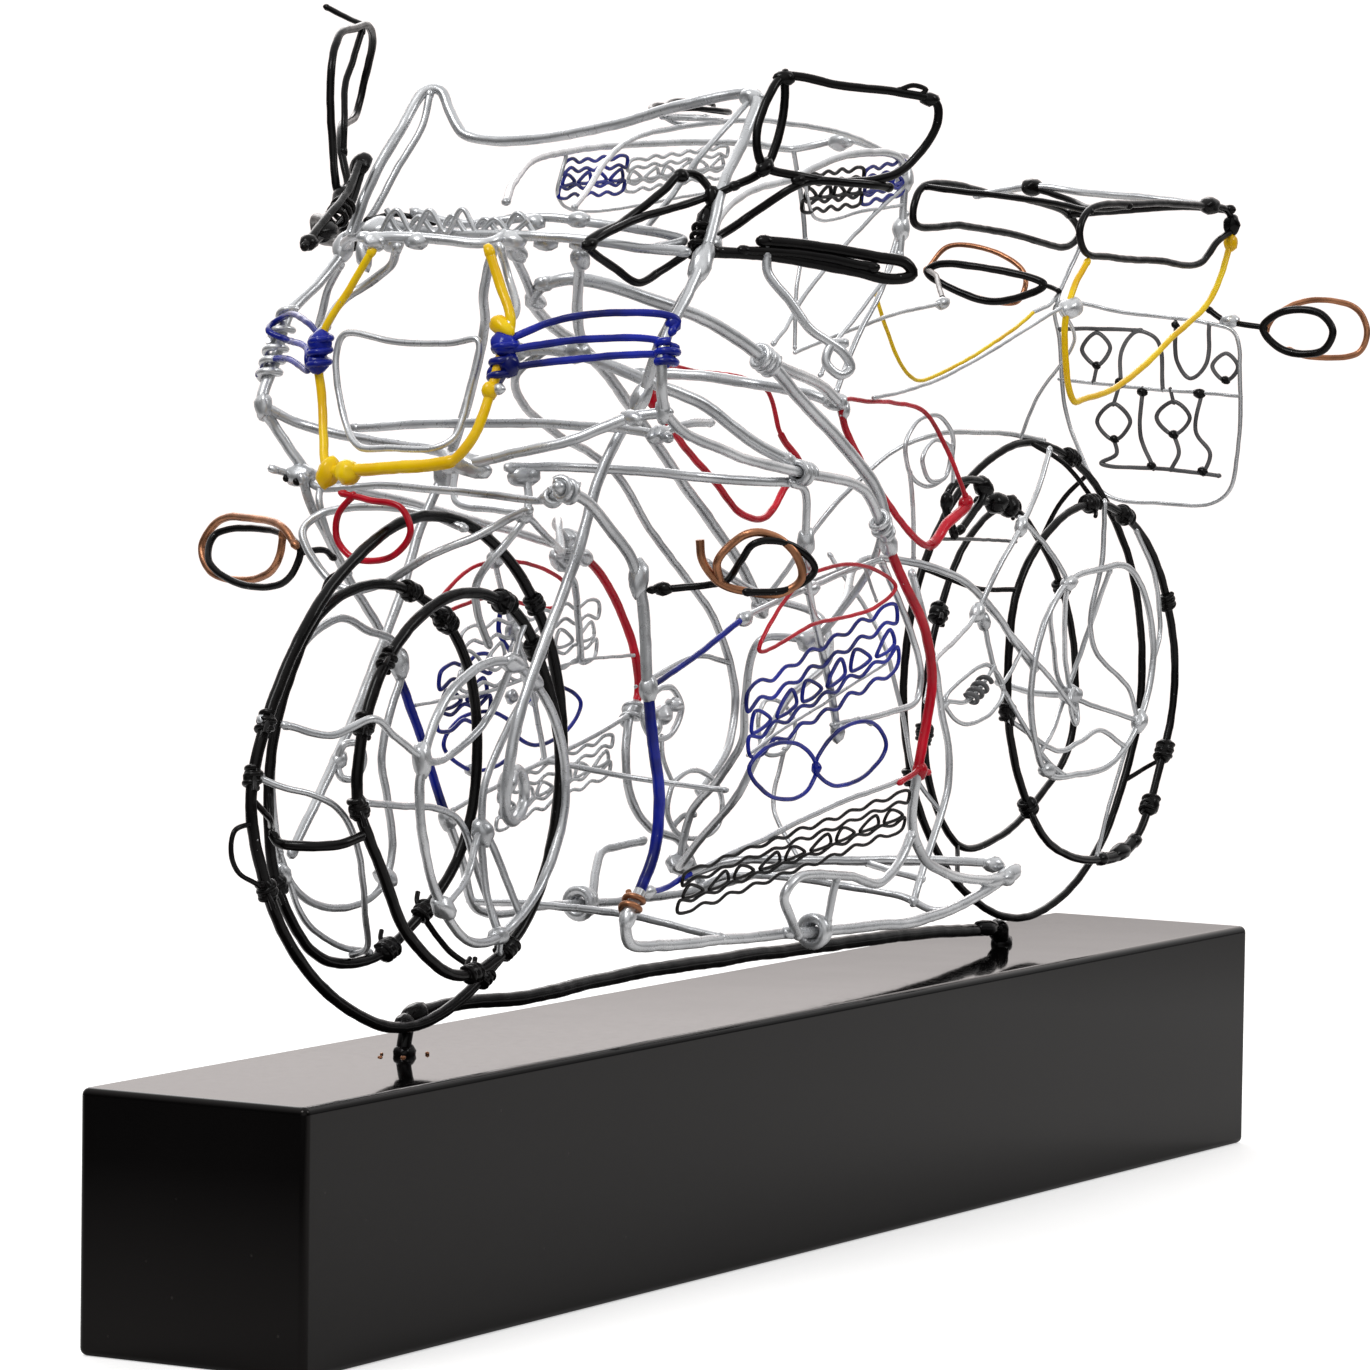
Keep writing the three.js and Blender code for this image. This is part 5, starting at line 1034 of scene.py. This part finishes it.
made("indicator_rear_right_rims", "black", ["indicator_rear_right"],
     ring(0.9, "black", (188.5, 26, 195.5), (187, 38, 198.8), (186, 52, 199.8), (186, 55, 198),
          (186.5, 48, 194), (187, 37, 191.5)),
     run(0.62, "copper", (186.5, 55.5, 198.5), (190, 51.5, 204), (192, 39.5, 202.5), (191.5, 32.5, 197.5),
         (188.5, 33, 191.5), (187, 46, 193)),
     run(0.6, "black", (134.5, 23.6, 193), (158, 38, 197.5), (185.5, 54.5, 198.3)),
     run(0.6, "black", (187, 21.5, 194.2), (188, 24, 195), (188.5, 26.5, 195.5)))


# Left fairing
# One wire runs down its front edge, blue below the indicator, and turns back as the belly pipe. Another
# comes down the rear, red for a stretch, and fine borders, a pennant and two ovals are tied between them.
made("fairing_left_front_edge", "silver", ["fairing_left_front_wire"],
     run(1.15, (-117.5, -29, 160), (-109, -29.5, 157.5), (-100.5, -30, 151.5), (-93, -30.5, 145.5),
         (-89.5, -31, 137.5), (-87, -31, 120.5), "blue", (-85, -31, 110.5), (-81, -30.5, 98.5),
         (-81.5, -30, 88.5), (-86.5, -29.5, 81), "silver", (-91, -29, 76), (-90, -29, 71.5),
         (-77.5, -29, 69.5), (-53, -28.5, 68.5), (-19.5, -28, 67), (6, -28, 66), (34, -27, 65),
         (53.5, -26, 66.5), (78, -25, 71)),
     coil(0.7, "silver", (-118, -29, 160.2), (-113, -29.4, 158.9), 2.2, 1.9),
     coil(0.6, "copper", (-90.2, -29.1, 77.2), (-87.4, -29.3, 80.4), 2.2, 1.75),
     solder(1.7, (-90.5, -29, 76), (0.6, 0, 1), 1.5), solder(2, (-91, -31, 142), (0.3, 0, 1), 2),
     solder(1.9, (-86.8, -31, 120.4), (0, 0, 1), 1.5), solder(1.9, (76.5, -25.2, 70.8), (1, 0, 0.2), 2))
made("fairing_left_rear_edge", "red", ["fairing_left_rear_wire"],
     run(1.05, (-104.5, -44, 174.5), (-95, -43, 170.5), (-70, -41, 165), (-42, -39, 161),
         (-11.5, -37, 156.5), (-3, -36, 149.5), (2.5, -35, 144.5), "red", (10, -35, 136.5),
         (20, -34.5, 127), (24.5, -34, 116), (23.5, -33.5, 108), (20.5, -33, 97.5), "silver",
         (22, -31, 87), (28.5, -30, 79.5), (42.5, -28, 74.5), (64.5, -26, 71), (78, -25, 71)),
     run(0.6, "red", (11.8, -33.6, 95.7), (17, -33.6, 97), (21.4, -33.4, 98.2), (24.6, -33.2, 97.2)),
     coil(0.6, "silver", (-4.6, -36.2, 150.8), (-0.5, -35.6, 147.4), 2.5, 1.8),
     coil(0.7, "silver", (-43.5, -39, 161.2), (-38.5, -38.8, 160.4), 2.4, 1.9),
     solder(1.6, (-40.5, -38.9, 160.7), (1, 0, 0), 1.2, "black"),
     solder(1.9, (2, -35.1, 145.2), (0.5, 0, -1), 1.5),
     solder(1.7, (21, -33.2, 97.8), (0, 0, 1), 1.2, "red"), solder(1.9, (78, -25, 71.2), (1, 0, 0.2), 2.4),
     solder(1.6, (69.5, -25.4, 70.4), (1, 0, 0.05), 3.2))
made("fairing_left_upper_inner_wires", "silver", ["fairing_left_upper_stays"],
     run(0.62, "blue", (-85.5, -31.3, 121), (-68.5, -32, 126.5), (-53, -33, 132.5), "silver",
         (-31.5, -33.5, 137), (-7.5, -34, 141), (0, -34.5, 142)),
     run(0.8, (-43, -38, 158.8), (-37, -37.5, 157), (-34, -36, 147.5), (-29, -34, 137), (-22, -33, 126.5),
         (-15.5, -32.5, 114), (-13.5, -32.5, 107)),
     run(0.35, (-51, -33, 105.5), (-38, -33, 109.4), (-17.5, -33, 114.5), (4.5, -33.5, 120.5)),
     run(0.7, (2, -34, 141), (9.5, -33.5, 134), (16.5, -33.5, 125.5), (20.5, -33.5, 117.5),
         (19, -33.5, 112.5), (7, -33.5, 110.5), (-15.5, -32.8, 109)),
     solder(1.6, (-53, -33, 132.4), (1, 0, 0.3), 1.5),
     solder(1.8, (-33.8, -36, 147.2), (0, 0, 1), 1.6, "silver"),
     solder(1.7, (-27.5, -33.7, 137.4), (1, 0, 0.2), 1.5),
     solder(1.5, (-14, -32.8, 107.5), (0, 0, 1), 1.5))
made("fairing_left_upper_strokes", "blue", [],
     *strokes(0.42, "blue", (-51, -33.4, 104.6), (9.4, -34, 119.6), (-1.4, 0, 13.8), 6))
made("fairing_left_lower_stay_wire", "silver", ["fairing_left_lower_stay"],
     run(0.6, "blue", (-83, -29.5, 80.5), (-76, -29, 80.5), (-68, -30, 83), "silver", (-42, -31, 87.5),
         (-15, -32, 92.5), (17, -33, 96.5)),
     solder(1.5, (-83.4, -29.4, 80.4), (1, 0, 0), 1.6))
made("fairing_left_lower_strokes", "black", [],
     *strokes(0.36, "black", (-74, -30.6, 75.4), (12.8, -33.8, 86), (3, 0, 8.2), 9))
made("badge_left_pennant", "red", ["badge_left_upper"],
     ring(0.43, "red", (-53, -36.4, 126.5), (-30, -36.4, 130.5), (-6, -36.6, 132.5), (3, -36.6, 136.5),
          (-12, -36.6, 141.5), (-36, -36.4, 139.5)),
     run(0.35, (-34, -36, 137.4), (-32.5, -34.4, 137.2)),
     run(0.35, (-4.5, -36.2, 134), (-6, -34.2, 140.8)))
made("badge_left_ovals", "blue", ["badge_left_lower"],
     ring(0.46, "blue", (-54, -35, 103), (-45, -35, 97), (-31, -34.8, 96.5), (-26, -34.8, 101),
          (-33, -35, 106), (-46, -35, 107)),
     ring(0.46, "blue", (-27, -35, 101.5), (-20, -35.2, 97.5), (-6, -35.2, 98.5), (2, -35.4, 104),
          (-4, -35.6, 109), (-20, -35.2, 107.5)),
     solder(1.1, (-26.5, -35, 101.3), (0, 0, 1), 1.3, "blue"),
     run(0.35, (-4.5, -35.4, 108.8), (-6, -33.6, 109.9)))


# Right fairing
# The far side is built like the near one, but is plainer: a front wire that turns back as the belly pipe,
# a rear wire with a red stretch, stays between them, and loops in red and blue with solder beads on them.
made("fairing_right_front_edge", "silver", ["fairing_right_front_wire"],
     run(0.95, (-107, 36, 159), (-105, 35, 153.5), (-100, 34, 147), (-94, 33, 139), (-84, 32, 128.5),
         "blue", (-76, 30.5, 114.5), (-68.5, 30, 101), (-62, 30, 90), "silver", (-57.5, 29, 81),
         (-54.5, 28.2, 72), (-48, 28, 69.6), (-24.5, 28, 69.5), (3.5, 28, 68), (35.5, 27, 68),
         (77.5, 26, 70.5), (109, 26, 68.5), (133.5, 25, 66.5)),
     solder(1.8, (-81.5, 31.6, 124.5), (0.5, 0, -1), 2), solder(1.8, (-61.8, 30, 89.6), (0.4, 0, -1), 1.5))
made("fairing_right_rear_edge", "red", ["fairing_right_rear_wire"],
     run(0.95, (-104, 38, 161), (-90.5, 38, 157.5), (-62, 37, 152.5), (-25, 36, 145.5), (-1.5, 35, 140),
         "red", (7.5, 35, 134.5), (15, 34.5, 126), (19, 34, 117.5), (20, 34, 110), (16, 33.5, 106.5),
         "silver", (12, 32, 97), (13, 31, 88.5), (19, 30, 82), (28.5, 28, 78.5), (36, 27.5, 70)),
     solder(2, (17.2, 33.6, 107.2), (1, 0, 0.5), 1.3), solder(1.8, (-1, 35, 140), (1, 0, -0.4), 1.5),
     coil(0.6, "silver", (15, 33.2, 104.6), (18.4, 33.8, 108.6), 2, 1.8))
made("fairing_right_inner_wires", "silver", ["fairing_right_stays"],
     run(0.55, (13.5, 33, 106), (1.5, 32, 103.5), (-16.5, 31, 100), (-41.5, 30, 95.5), (-60, 29.6, 91.5)),
     run(0.4, (17, 33.5, 118.5), (-2.5, 33.5, 118.5), (-21.5, 33, 117), (-42.5, 32, 114.5),
         (-73, 30.5, 113.5)),
     run(0.6, (-40, 34.5, 147), (-37, 33.5, 136), (-32, 33, 126), (-27, 32.2, 116), (-22, 31.2, 99)),
     *strokes(0.42, "silver", (-54, 32.2, 115), (2, 33.6, 118.8), (0.8, 0, 12.4), 6),
     *strokes(0.42, "silver", (-42, 30.6, 86), (6, 32.4, 94.3), (1.2, 0, 8.6), 6),
     solder(1.8, (-38.2, 34, 141), (0, 0, 1), 1.2), solder(1.8, (-31.8, 33, 126), (0, 0, 1), 1.2))
made("fairing_right_blue_strokes", "blue", [],
     *strokes(0.45, "blue", (-60, 33.6, 107), (-40, 33.9, 109.5), (0.6, 0, 12.6), 2),
     run(0.5, "blue", (-34.6, 34.4, 131.4), (-35.5, 34.4, 126), (-31.5, 34, 121), (-33.2, 33.8, 116)))
made("badge_right_pennant", "red", ["badge_right_upper"],
     ring(0.45, "red", (-58, 36, 131), (-36, 36, 133), (-10, 36.5, 130), (-6, 36.5, 134), (-20, 36.5, 139),
          (-44, 36.5, 139)))
made("badge_right_ovals", "blue", ["badge_right_lower"],
     ring(0.45, "blue", (-56, 34.5, 104), (-46, 34.2, 98.5), (-32, 34, 100), (-28, 34.4, 105),
          (-36, 34.8, 109.5), (-50, 34.8, 109)),
     ring(0.45, "blue", (-29, 34.4, 105.5), (-22, 34, 102), (-8, 34.2, 104.5), (-2, 34.8, 109.5),
          (-8, 35.4, 113), (-22, 35, 111.5)),
     solder(1.5, (-28.6, 34.6, 105.3), (0, 0, 1), 1.3), solder(1.4, (-29, 35.2, 112.4), (0, 0, 1), 1.2),
     solder(1.3, (-20.5, 35.2, 111.4), (0, 0, 1), 1.2), solder(1.3, (-46, 34.4, 98.6), (1, 0, 0), 1.2))


# Foot pegs
# A bent wire from each belly pipe with a washer threaded on the pipe beside it.
WASHER_WIRE = 1.15
WASHER_BENDS = 10


def washer(at, radius):
    """One turn of thick wire round a pipe that runs along X."""
    bends = []
    for i in range(WASHER_BENDS):
        turn = i / WASHER_BENDS * math.tau
        bends.append((at[0], at[1] + math.cos(turn) * radius, at[2] + math.sin(turn) * radius))
    return ring(WASHER_WIRE, *bends)


made("foot_peg_left_wire", "silver", ["foot_peg_left"],
     run(0.98, (-24, -30, 67), (-33, -33, 72), (-37, -34, 76.5), (-34, -35, 79.5), (-10, -34, 78),
         (5, -33, 75.5), (14, -32.5, 79), (19, -32.5, 84)),
     washer((-14.4, -28.2, 67), 2.7), washer((-12.4, -28.2, 67), 2.2),
     run(0.8, (-13.5, -31, 68.8), (-15, -33, 75), (-16, -34.3, 78.3)),
     solder(1.5, (-26, -29, 67.6), (1, 0, 0), 1.5))
made("foot_peg_right_wire", "silver", ["foot_peg_right"],
     run(0.98, (-3.5, 30.4, 69), (2.5, 33, 75.5), (6.5, 34, 78), (12.5, 34, 78.5), (20, 32.8, 79)),
     washer((-12.6, 28.2, 69), 2.8), washer((-10.6, 28.2, 69), 2.3),
     run(0.8, (-9, 30.6, 69.5), (-6, 31, 68.5), (-3, 30.6, 69.5)))


# Engine and exhaust
# Rough loops of silver wire fill the space between the fairings, with an exhaust wire below and a strut
# that steadies it from the left belly pipe.
made("engine_wires", "silver", ["engine_head"],
     run(0.85, (6.5, -16, 124.5), (30, -10, 131.5), (47.5, -4, 139), (62, -9, 138), (74, -14, 134),
         (89, -14, 127), (101, -13, 119.5), (112, -12.5, 113)),
     run(0.85, (5, 9, 139.5), (19, 3, 132), (26, -6, 128), (18, -13, 120), (3, -12, 112.5),
         (-6.5, -12, 104.5), (-9.5, -8, 94), (-5, 4, 83), (1, 12, 76.5), (9, 17, 76)),
     run(0.85, (6.5, -16, 124.5), (-2, -8, 124.5), (-1, -4, 112), (1.5, -2, 103.5), (3, 4, 95),
         (7, 13, 87), (9, 17, 76)),
     ring(0.6, *side_on(19, (7.5, 87), (9.5, 92.5), (17, 95), (26, 92.5), (30.5, 87.5), (28.5, 82.5),
          (20, 80.5), (11, 82.5))),
     run(0.6, (8, 13, 86.5), (11, 17, 86), (10, 19, 84)),
     solder(2.6, (6.5, -15, 124.5), (1, 0, 0), 1.5), solder(2.4, (9, 17, 76.2), (1, 0, 0), 1.5))
made("engine_inner_loops", "silver", [],
     ring(0.7, *side_on(21, (0.5, 107), (5, 112), (12, 112.5), (16, 108), (12, 103), (4, 102.5))),
     run(0.5, (8, 21, 102.4), (7, 20, 98), (9.8, 19.2, 92.8)),
     ring(0.5, *side_on(12, (36, 98), (33, 105), (36, 109), (44.5, 107.5), (49, 102.5), (44.5, 98))),
     run(0.5, (44, 12, 98), (40, 12, 86), (37.5, 4.5, 76)),
     ring(0.5, *side_on(-15, (65.5, 108.5), (72.5, 112.5), (86, 115), (93, 109.5), (86.5, 104.5),
          (72.5, 103.5))),
     run(0.5, (62, -16, 107), (66, -15.4, 108)),
     run(0.45, (92, -15, 110.4), (98, -14, 113), (104, -13.4, 117.4)),
     run(0.5, (49, 4, 139.5), (49, -8, 124), (49.5, -13, 108), (53.5, -15, 93), (60, -17, 86)),
     ring(0.5, *side_on(-10, (56, 163), (61, 168), (70, 169), (77, 164), (75, 157), (66, 154), (58, 157))),
     ring(0.5, *side_on(-12, (60, 160), (65, 164), (72, 162), (71, 156.5), (63, 155.5))),
     run(0.45, (76.5, -10, 162.5), (80, -8.6, 157), (81, -8, 154)),
     run(0.5, (58, -10, 157), (60, -9.8, 148), (62, -9, 139)),
     solder(2.2, (8, 21, 107), (1, 0, 0.3), 1.2), solder(1.7, (12, 20.6, 109), (0, 1, 0), 1.3),
     solder(1.7, (4.5, 20.8, 104.5), (1, 0, 1), 1.3),
     run(0.5, (66, -15.2, 108.4), (73, -16, 108), (79, -16, 110), (88, -15.2, 114.6)),
     coil(0.55, "grey", (75, -16, 108.3), (83, -15.8, 111.8), 3.4, 1.4))
made("exhaust_wires", "silver", ["exhaust"],
     run(1.0, (12, 17, 73.5), (22, 12, 76), (37.5, 4, 75.5), (56, -4, 74.5), (68, -12, 74),
         (77, -21.5, 73.5)),
     run(0.8, (45, -19.5, 67.5), (49, -19, 73), (57, -18, 82), (63.5, -17.5, 91), (64, -17, 98.5),
         (62, -16, 107), (59, -16, 117), (56, -14.5, 128), (56, -12, 136)),
     run(0.8, (55, -3, 74), (50, -12, 73), (48.5, -19, 72)),
     run(0.8, (45, -19.5, 67.5), (46, -23, 66), (47, -26, 66)),
     solder(1.7, (76.4, -21.8, 73.2), (0.5, -0.6, 0), 1.5))
made("cross_stays", "silver", [],
     run(0.8, (-54.5, 28.2, 72.5), (-54, 10, 73), (-54, -10, 72), (-53, -28.4, 69)),
     run(0.8, (35, 27, 68.6), (40, 22, 71), (45, -16, 68.5), (45, -19.5, 67.5)),
     run(0.6, (20, 34, 112), (30, 26, 118), (43, 25, 116)),
     run(0.6, (-22, 31.2, 99), (-12, 20, 96), (-9, -4, 94)),
     run(0.6, (56, 25, 127), (50, 10, 133), (48, -3.6, 138.6)),
     run(0.8, (3.5, -33.5, 149.5), (4, -30, 140), (6, -20, 128), (6.5, -16, 124.6)),
     solder(1.8, (56, 25, 127), (1, 0, -1), 1.6))


# Floor and light
# A plain pale studio: a wide white sweep, a large soft lamp high on the left, and gentle ones from the
# side and from behind. The room is white to look at, with the darker walls that the gloss mirrors. The floor
# is painted in shade to the left of the plinth's end, so the end face mirrors a darker floor.
FLOOR_RADIUS = 1.2
FLOOR_FADE = (0.45, 0.95)
FLOOR_GLOW = 0.5
PAINTED_SHADE_PAST = (-0.42, -0.2)
ROOM_GLOW = 1.15
ROOM_TURN = (0.433, 0.25, 0.0)
ROOM_TONES = ((0.0, 0.85), (0.1, 0.45), (0.19, 0.03), (0.3, 0.04), (0.75, 0.40), (0.93, 1.2))
WARM_SIDE = (0.84, 0.94)
DIM_BELOW = (0.098, 0.122)
BRIGHT_ABOVE = (0.25, 0.85)

sweep = bmesh.new()
bmesh.ops.create_circle(sweep, cap_ends=True, segments=96, radius=FLOOR_RADIUS)
mesh = bpy.data.meshes.new("studio_floor")
sweep.to_mesh(mesh)
sweep.free()
paper, tree, shader = new_material("white_paper")
fibre = unevenness(tree, patch_size=3.0, grain_size=400.0)
ground = tree.nodes.new("ShaderNodeTexCoord")
spot = tree.nodes.new("ShaderNodeSeparateXYZ")
tree.links.new(ground.outputs["Object"], spot.inputs["Vector"])
# Painted shade: the floor is dark grey past X = -0.42 m, to the left of the plinth's end, and pale again
# from X = -0.2 m, so the end face mirrors a shaded floor.
tone = tree.nodes.new("ShaderNodeMix")
tone.data_type = "RGBA"
tree.links.new(ranged(tree, spot.outputs["X"], *PAINTED_SHADE_PAST, at_low=0.0, at_high=1.0), tone.inputs["Factor"])
tone.inputs["A"].default_value = (0.06, 0.06, 0.06, 1)
pale = blended(tree, fibre.outputs["Patches"], 0.3, 0.7, dark=(0.62, 0.61, 0.605), light=(0.66, 0.655, 0.65))
tree.links.new(pale, tone.inputs["B"])
tree.links.new(tone.outputs["Result"], shader.inputs["Base Color"])
shader.inputs["Roughness"].default_value = 0.9
shader.inputs["Specular IOR Level"].default_value = 0.1
reach = tree.nodes.new("ShaderNodeVectorMath")
reach.operation = "LENGTH"
tree.links.new(ground.outputs["Object"], reach.inputs[0])
solid = ranged(tree, reach.outputs["Value"], *FLOOR_FADE, at_low=1.0, at_high=0.0)
tree.links.new(solid, shader.inputs["Alpha"])
sight = tree.nodes.new("ShaderNodeLightPath")
glow = ranged(tree, sight.outputs["Is Camera Ray"], 0.0, 1.0, at_low=0.0, at_high=FLOOR_GLOW)
tree.links.new(glow, shader.inputs["Emission Strength"])
shader.inputs["Emission Color"].default_value = (1, 1, 1, 1)
mesh.materials.append(paper)
floor = bpy.data.objects.new("studio_floor", mesh)
bpy.context.collection.objects.link(floor)


def worked(tree, operation, first, second):
    """A Math node of a socket and a second one, or a number."""
    node = tree.nodes.new("ShaderNodeMath")
    node.operation = operation
    tree.links.new(first, node.inputs[0])
    if isinstance(second, float):
        node.inputs[1].default_value = second
    else:
        tree.links.new(second, node.inputs[1])
    return node.outputs["Value"]


room = bpy.data.worlds.new("studio_room")
room.use_nodes = True
bpy.context.scene.world = room
tree = room.node_tree
way = tree.nodes.new("ShaderNodeTexCoord")
turned = tree.nodes.new("ShaderNodeVectorMath")
turned.operation = "DOT_PRODUCT"
turned.inputs[1].default_value = ROOM_TURN
tree.links.new(way.outputs["Generated"], turned.inputs[0])
aside = worked(tree, "ADD", turned.outputs["Value"], 0.5)
lit = tree.nodes.new("ShaderNodeValToRGB")
for place, tone in ROOM_TONES:
    stop = lit.color_ramp.elements.new(place)
    stop.color = (tone, tone, tone, 1)
lit.color_ramp.elements.remove(lit.color_ramp.elements[0])
lit.color_ramp.elements.remove(lit.color_ramp.elements[-1])
tree.links.new(aside, lit.inputs["Fac"])
height = tree.nodes.new("ShaderNodeSeparateXYZ")
tree.links.new(way.outputs["Generated"], height.inputs["Vector"])
low = ranged(tree, height.outputs["Z"], *DIM_BELOW, at_low=0.5, at_high=1.0)
above = ranged(tree, height.outputs["Z"], *BRIGHT_ABOVE, at_low=0.0, at_high=0.75)
mirrored = worked(tree, "ADD", worked(tree, "MULTIPLY", lit.outputs["Color"], low), above)
strength = tree.nodes.new("ShaderNodeMix")
seen = tree.nodes.new("ShaderNodeLightPath")
tree.links.new(seen.outputs["Is Camera Ray"], strength.inputs["Factor"])
tree.links.new(mirrored, strength.inputs["A"])
strength.inputs["B"].default_value = ROOM_GLOW
tint = blended(tree, aside, *WARM_SIDE, dark=(1, 1, 1), light=(1, 0.935, 0.915))
tree.links.new(tint, tree.nodes["Background"].inputs["Color"])
tree.links.new(strength.outputs["Result"], tree.nodes["Background"].inputs["Strength"])


def soft_lamp(name, place, target, size, watts):
    """A square soft box aimed at a place."""
    light = bpy.data.lights.new(name, "AREA")
    light.size = size
    light.energy = watts
    lamp = bpy.data.objects.new(name, light)
    lamp.location = place
    lamp.rotation_euler = (Vector(target) - Vector(place)).to_track_quat("-Z", "Y").to_euler()
    bpy.context.collection.objects.link(lamp)


soft_lamp("key_soft_box", (-1.3, 0.2, 1.6), (0, 0, 0.12), size=0.7, watts=15)
soft_lamp("side_soft_box", (0.4, -1.5, 1.3), (0, 0, 0.12), size=0.6, watts=6)
soft_lamp("back_soft_box", (1.3, 1.1, 1.2), (0, 0, 0.1), size=1.2, watts=9)


# Camera
# A long lens from the front left, a little above the plinth, as the photograph was taken.
AROUND, ABOVE, LEAN = math.radians(-60.0), math.radians(4.086), math.radians(0.82)
AIM = Vector((0, 0, 0.12))
AWAY = 1.4614
ASIDE = 0.00954
BELOW = 0.00516
SENSOR_WIDTH = 36
FOCAL_LENGTH = 186.43
FARTHEST = 30

back = Vector((math.sin(AROUND) * math.cos(ABOVE), -math.cos(AROUND) * math.cos(ABOVE), math.sin(ABOVE)))
level = (-back).cross(Vector((0, 0, 1))).normalized()
upright = level.cross(-back)
across = level * math.cos(LEAN) + upright * math.sin(LEAN)
upward = upright * math.cos(LEAN) - level * math.sin(LEAN)
lens = bpy.data.cameras.new("studio_camera")
lens.sensor_width = SENSOR_WIDTH
lens.lens = FOCAL_LENGTH
lens.clip_end = FARTHEST
camera = bpy.data.objects.new("studio_camera", lens)
stand = AIM - across * ASIDE - upward * BELOW + back * AWAY
camera.matrix_world = Matrix.Translation(stand) @ Matrix((across, upward, back)).transposed().to_4x4()
bpy.context.collection.objects.link(camera)
bpy.context.scene.camera = camera
bpy.context.scene.view_settings.view_transform = "Standard"
